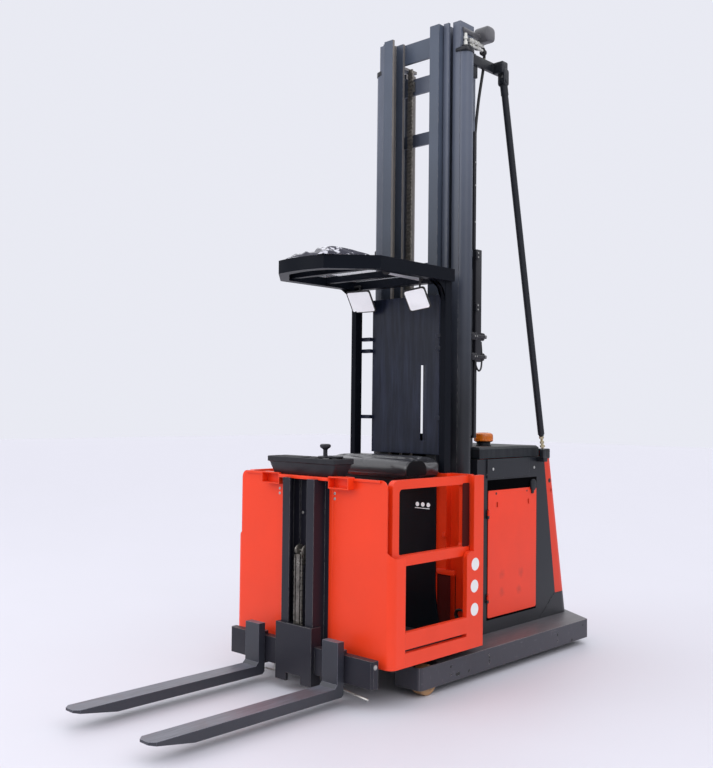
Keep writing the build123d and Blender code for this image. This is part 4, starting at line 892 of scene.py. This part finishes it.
# Black kick panel on the centre cover, flaring out near the floor
kick = dict(top=1226.0, wide=352.0, flareFrom=560.0, flareTo=402.0, floorZ=264.0, front=-218.0, back=-207.0)


def kickPanel(k):
    # half width is wide above flareFrom and grows with the 1.7th power of the depth below it
    z = np.linspace(k["floorZ"], k["top"], 60)
    below = np.clip((k["flareFrom"] - z) / (k["flareFrom"] - k["floorZ"]), 0, 1)
    half = k["wide"] + (k["flareTo"] - k["wide"]) * below**1.7
    outline = np.stack((np.stack((-half, half, half, -half), -1),
                        np.broadcast_to(np.array((k["front"], k["front"], k["back"], k["back"])), (60, 4)),
                        np.broadcast_to(z[:, None], (60, 4))), -1)
    return loft(outline)


makePiece("kickPanel", [kickPanel(kick)], "kickBlack", "cabin")
# white dots and a bar on the panel; their glow is painted light
dots = [spun((x, -218.0, 1059.0), (0, -1, 0), [(0, 14), (1.5, 14), (2.5, 11)], 20) for x in (205, 250, 295)]
dots.append(slab((185, -220, 1033), (305, -217, 1037), 1.5, 0.8, 0))
makePiece("panelGlowDots", dots, "panelWhiteGlow", "cabin")

# Red shelf on the rear columns, a dark sheet under it that is painted shade, their seams and a cable with its
# coil
shelves = [slab((362, -216, 634), (503, -200, 668), 4, 2, 0),
           slab((418, -232, 870), (440, -207, 900), 5, 2, 0)]
makePiece("columnShelf", both(shelves), "frameRed", "cabin")
underShelfShade = [slab((364, -209, 300), (468, -206.5, 632), 8, 1, 1)]
makePiece("columnUnderShelfShade", both(underShelfShade), "shadeAndSeamRed", "cabin")
seams = [slab((388, -165, 690), (393, -160.5, 1200), 1.5, 0.8, 2),
         slab((470, -165, 300), (474, -160.5, 632), 1.5, 0.8, 2)]
makePiece("columnSeams", both(seams), "shadeAndSeamRed", "cabin")
cable = curve([(604, -236, 1238), (600, -240, 1120), (606, -246, 1000), (602, -240, 900), (608, -236, 800),
               (604, -232, 700)], 60)
loops = [pipe(cable, 7.0, 10)]
turn = np.linspace(0, 2 * math.pi, 33)
for k in range(3):
    loop = np.stack((540 + 34 * np.cos(turn), -190 - 9 * k + 4 * np.sin(2 * turn),
                     398 + (30 + 3 * k) * np.sin(turn)), -1)
    loops.append(pipe(loop, 6.5, 8))
makePiece("cabinCables", loops, "softRubber", "cabin")
print("cabin details done")

# Black strips round each battery door, widest above it: the gaps are real, their black is painted shade
gap = dict(y=(297.0, 900.0), z=(262.0, 1196.0), door=(304.0, 893.0, 277.0, 1125.0), face=385.7)
y0, y1, z0, z1 = gap["door"]
strips = [slab((383, gap["y"][0], z1 + 1), (gap["face"], gap["y"][1], gap["z"][1]), 2, 0.3, 0),
          slab((383, gap["y"][0], gap["z"][0]), (gap["face"], gap["y"][1], z0 - 1), 2, 0.3, 0),
          slab((383, gap["y"][0], z0 - 1), (gap["face"], y0 - 1, z1 + 1), 2, 0.3, 0),
          slab((383, y1 + 1, z0 - 1), (gap["face"], gap["y"][1], z1 + 1), 2, 0.3, 0)]
makePiece("doorGapShade", both(strips), "gapShadeBlack", "truck")

# Battery door latches and the seams at the tower's foot
latch = [slab((388, 806, 1100), (404, 872, 1182), 30, 6, 0),
         slab((386, 822, 1080), (398, 850, 1112), 8, 3, 0)]
makePiece("doorLatches", both(latch), "lidPlastic", "truck")
seamPath = curve([(386, 1148, 333), (386, 1100, 300), (386, 1040, 250), (386, 985, 208), (386, 960, 190)], 40)
seam = pipe(seamPath, 2.5, 8)
makePiece("footSeams", both([seam]), "towerSlate", "truck")

# Side barrels on the outer rails, their heads and the fittings between them and the head block
barrel = dict(x=352.0, y=57.0, radius=54.0, z0=640.0, z1=4044.0, cut=344.0)
tube = spun((barrel["x"], barrel["y"], 0), (0, 0, 1),
            [(barrel["z0"], 47), (barrel["z0"] + 6, barrel["radius"]), (barrel["z1"], barrel["radius"])],
            40)
tube[0][:, 0] = np.maximum(tube[0][:, 0], barrel["cut"])
makePiece("sideBarrels", both([tube]), "railSlate", "truck")
gland = spun((barrel["x"], barrel["y"], barrel["z1"]), (0, 0, 1),
             [(-26, 57), (-24, 59), (4, 59), (6, 56), (6, 40), (22, 40), (24, 34)], 40)
band = slab((318, -8, 4020), (404, 30, 4046), 8, 3, 0)
makePiece("barrelGlands", [gland, mirrored(gland), band], "towerSlate", "truck")
stub = [(0, 15), (30, 15), (32, 11), (44, 11), (46, 17), (62, 17), (64, 12), (86, 12)]
upper = [(0, 14), (18, 14), (20, 20), (34, 20), (36, 13), (52, 13), (54, 20), (68, 20), (70, 13), (88, 13),
         (90, 19), (106, 19), (108, 13), (160, 13)]
lower = [(0, 10), (24, 10), (26, 16), (42, 16), (44, 10), (80, 10), (82, 16), (98, 16), (100, 10), (150, 10)]
fittings = [spun((362, 44, 4062), (0, 0, 1), stub, 24), spun((362, 76, 4114), (0, 1, 0), upper, 24),
            spun((362, 82, 4084), (0, 1, 0), lower, 24)]
makePiece("headFittings", fittings, "zincFitting", "truck")
headHalf = dict(neck=((322, 24, 4152), (366, 210, 4190)), block=((310, 200, 4140), (420, 304, 4243)))
head = [slab(*headHalf["neck"], 16, 6, 1), slab(*headHalf["block"], 34, 14, 0)]
makePiece("headBlock", head, "headGrey", "truck", ("mast_head_box",))
hose = curve([(356, 240, 4112), (352, 268, 4096), (346, 276, 4040), (344, 268, 3965), (344, 215, 3725),
              (344, 182, 3480), (350, 178, 3300)], 60)
makePiece("headHose",
          [pipe(hose, 10.0, 12), spun((356, 236, 4078), (0, 1, 0), [(0, 20), (26, 22), (34, 16)], 20)],
          "softRubber", "truck")
makePiece("headBrass",
          [spun((344, 276, 4000), (0, 0, 1), [(0, 13), (12, 13), (13, 17), (28, 17), (29, 12), (44, 12)],
                16)], "brassFitting", "truck")

# Hose duct behind the right rail: cover, narrow strips, clamps with their pipes
duct = dict(x=(353.0, 388.0), y=(150.0, 214.0), z=(1985.0, 2730.0))
cover = [slab(*zip(duct["x"], duct["y"], duct["z"]), 8, 3, 2),
         slab((353, 158, 1480), (372, 186, 1990), 5, 2, 2),
         slab((353, 146, 2728), (368, 172, 3520), 5, 2, 2)]
for z in (2691.0, 2344.0):
    cover.append(slab((372, 140, z - 26), (396, 176, z + 26), 8, 3, 0))
for z in (2153.0, 2019.0):
    for k, y in enumerate((118.0, 146.0, 232.0)):
        cover.append(spun((376, y, z), (0, 0.2 * (k - 1), 1), [(-24, 15), (-18, 20), (18, 20), (24, 15)], 18))
    cover.append(slab((353, 112, z - 12), (398, 262, z + 12), 8, 3, 1))
makePiece("hoseDuct", cover, "blackPlastic", "truck", ("rear_duct",))
loop = curve([(380, 150, 2010), (384, 158, 1960), (386, 186, 1926), (386, 214, 1950), (384, 222, 2030),
              (382, 214, 2120)], 40)
makePiece("ductLoop", [pipe(loop, 6.0, 10)], "softRubber", "truck")
dots = [spun((396, 158, z + dz), (1, 0, 0), [(-1, 6), (3, 6)], 10) for z in (2691, 2344) for dz in (-14, 14)]
dots += [spun((368, 159, z), (1, 0, 0), [(-1, 5), (2, 5)], 10) for z in (2915.0, 3160.0, 3315.0)]
dots += [spun((398, y, z), (1, 0, 0), [(-1, 5), (3, 5)], 10) for z in (2019, 2153) for y in (128, 150, 246)]
makePiece("ductScrews", dots, "boltMetal", "truck")

# Strut: arm, clevis, tube, threaded end with its nuts, and the bracket it stands on
strut = dict(top=(430.0, 380.0, 3917.0), low=(430.0, 906.0, 1400.0), radius=23.0, thread=9.0)
top, foot = np.array(strut["top"]), np.array(strut["low"])
way = (foot - top) / np.linalg.norm(foot - top)
length = float(np.linalg.norm(foot - top))
r, t = strut["radius"], strut["thread"]
tube = spun(top + way * 40, way,
            [(0, r + 3), (70, r + 3), (74, r), (length - 140, r), (length - 136, r - 5),
             (length - 128, r - 5)], 32)
arm = [slab((352, 112, 3962), (378, 400, 4028), 6, 2.5, 0),
       slab((372, 336, 3950), (452, 404, 4028), 10, 4, 0),
       slab((352, 112, 3880), (366, 176, 3980), 5, 2, 0)]
jaws = [slab((404, 356, 3868), (416, 412, 3980), 18, 2, 0),
        slab((444, 356, 3868), (456, 412, 3980), 18, 2, 0),
        spun((400, 384, 3900), (1, 0, 0), [(0, 12), (60, 12)], 20),
        spun((416, 384, 3900), (1, 0, 0), [(0, 26), (28, 26)], 28)]
bracket = [slab((386, 900, 1302), (444, 950, 1336), 8, 3, 0),
           slab((414, 890, 1330), (444, 926, 1392), 8, 3, 0),
           slab((382, 960, 1322), (392, 1066, 1390), 8, 2, 0),
           slab((330, 984, 1378), (390, 1066, 1392), 6, 3, 2)]
makePiece("strutBody", [tube] + arm + jaws + bracket, "towerSlate", "truck", ("mast_strut",))
rod = [(0, 0.1), (0, t)]
for k in range(18):
    rod += [(2 + 5 * k, t), (4.5 + 5 * k, t + 1.6)]
rod += [(94, t), (94, 0.1)]
threadEnd = [turned(foot - way * 92, way, rod, 16), spun(foot - way * 84, way, [(0, 17), (14, 17)], 6),
             spun(foot - way * 50, way, [(0, 15), (16, 15)], 6),
             spun(foot - way * 22, way, [(0, 18), (14, 18)], 6)]
makePiece("strutThread", threadEnd, "brassFitting", "truck")
# Box on the far rail
makePiece("farBox", [slab((-424, 40, 2704), (-356, 96, 2790), 12, 4, 0)], "blackPlastic", "truck")
print("truck details done")

# Load wheels: crowned tyre and dished hub, both closed by flat ends
wheel = dict(x0=530.0, y=-586.0, z=88.0)
for side, word in ((-1, "left"), (1, "right")):
    centre = (side * wheel["x0"], wheel["y"], wheel["z"])
    way = (side, 0, 0)
    tyre = turned(centre, way,
                  [(2, 60), (0.5, 66), (2, 80), (7, 86.5), (16, 87.6), (38, 88), (60, 87.6), (69, 86.5),
                   (74, 80), (75.5, 66), (74, 60)], 64)
    hub = turned(centre, way,
                 [(3, 18.2), (1, 30), (6, 34), (8, 54), (3, 60), (1, 62.2), (75, 62.2), (73, 60), (68, 54),
                  (70, 34), (75, 30), (73, 18.2)], 48)
    makePiece("loadTyre" + word.capitalize(), [tyre], "wheelTan", "wheel_" + word,
              ("load_tyre_" + word,))
    makePiece("loadHub" + word.capitalize(), [hub], "hubMetal", "wheel_" + word,
              ("load_hub_" + word,))
print("wheels done")

# Studio: pale floor, a dome and two soft lamps
studio = dict(floorColour=(0.615, 0.61, 0.665), worldColour=(0.95, 0.955, 1.0), lowLight=0.22,
              highLight=1.48, rise=0.50, seenWhite=(0.815, 0.825, 0.895),
              lamps=(((-3.5, -7.5, 5.0), (0, -0.4, 1.2), 4.5, 165.0),
                     ((7.5, -2.0, 6.0), (0, 0.4, 1.5), 4.5, 80.0)))
floorMesh = bpy.data.meshes.new("studioFloor")
floorMesh.from_pydata([(-40, -40, 0), (40, -40, 0), (40, 40, 0), (-40, 40, 0)], [], [(0, 1, 2, 3)])
floor = bpy.data.objects.new("studioFloor", floorMesh)
bpy.context.scene.collection.objects.link(floor)
floorLook = bpy.data.materials.new("paleFloor")
floorLook.use_nodes = True
tree = floorLook.node_tree
shader = tree.nodes["Principled BSDF"]
place = add(tree, "ShaderNodeTexCoord").node.outputs["Object"]
stain = noise(tree, place, 0.9, 6.0, 0.6)
low, high = tuple(0.95 * c for c in studio["floorColour"]) + (1.0,), studio["floorColour"] + (1.0,)
tree.links.new(mixed(tree, stain, low, high), shader.inputs["Base Color"])
tree.links.new(sums(tree, "MULTIPLY_ADD", stain, 0.2, 0.45), shader.inputs["Roughness"])
floorMesh.materials.append(floorLook)

world = bpy.data.worlds.new("studio")
bpy.context.scene.world = world
world.use_nodes = True
tree = world.node_tree
light = tree.nodes["Background"]
light.inputs[0].default_value = studio["worldColour"] + (1.0,)
# the dome is dim at the horizon and grows brighter with height
skyway = add(tree, "ShaderNodeTexCoord").node.outputs["Generated"]
upward = add(tree, "ShaderNodeSeparateXYZ", {0: skyway}).node.outputs["Z"]
strength = add(tree, "ShaderNodeMapRange",
               {"Value": upward, "From Min": 0.0, "From Max": studio["rise"], "To Min": studio["lowLight"],
                "To Max": studio["highLight"]})
tree.links.new(strength, light.inputs[1])
seen = tree.nodes.new("ShaderNodeBackground")
seen.inputs[0].default_value = studio["seenWhite"] + (1.0,)
ray = tree.nodes.new("ShaderNodeLightPath").outputs
share = sums(tree, "MAXIMUM", ray["Is Camera Ray"], ray["Is Transmission Ray"])
joined = tree.nodes.new("ShaderNodeMixShader")
tree.links.new(share, joined.inputs[0])
tree.links.new(light.outputs[0], joined.inputs[1])
tree.links.new(seen.outputs[0], joined.inputs[2])
tree.links.new(joined.outputs[0], tree.nodes["World Output"].inputs[0])
for k, (spot, aim, size, power) in enumerate(studio["lamps"]):
    data = bpy.data.lights.new("softLamp%d" % k, "AREA")
    data.size, data.energy = size, power
    lamp = bpy.data.objects.new("softLamp%d" % k, data)
    lamp.location = spot
    lamp.rotation_euler = (Vector(aim) - Vector(spot)).to_track_quat("-Z", "Y").to_euler()
    bpy.context.scene.collection.objects.link(lamp)
bpy.context.scene.view_settings.view_transform = "Standard"
print("studio lit")
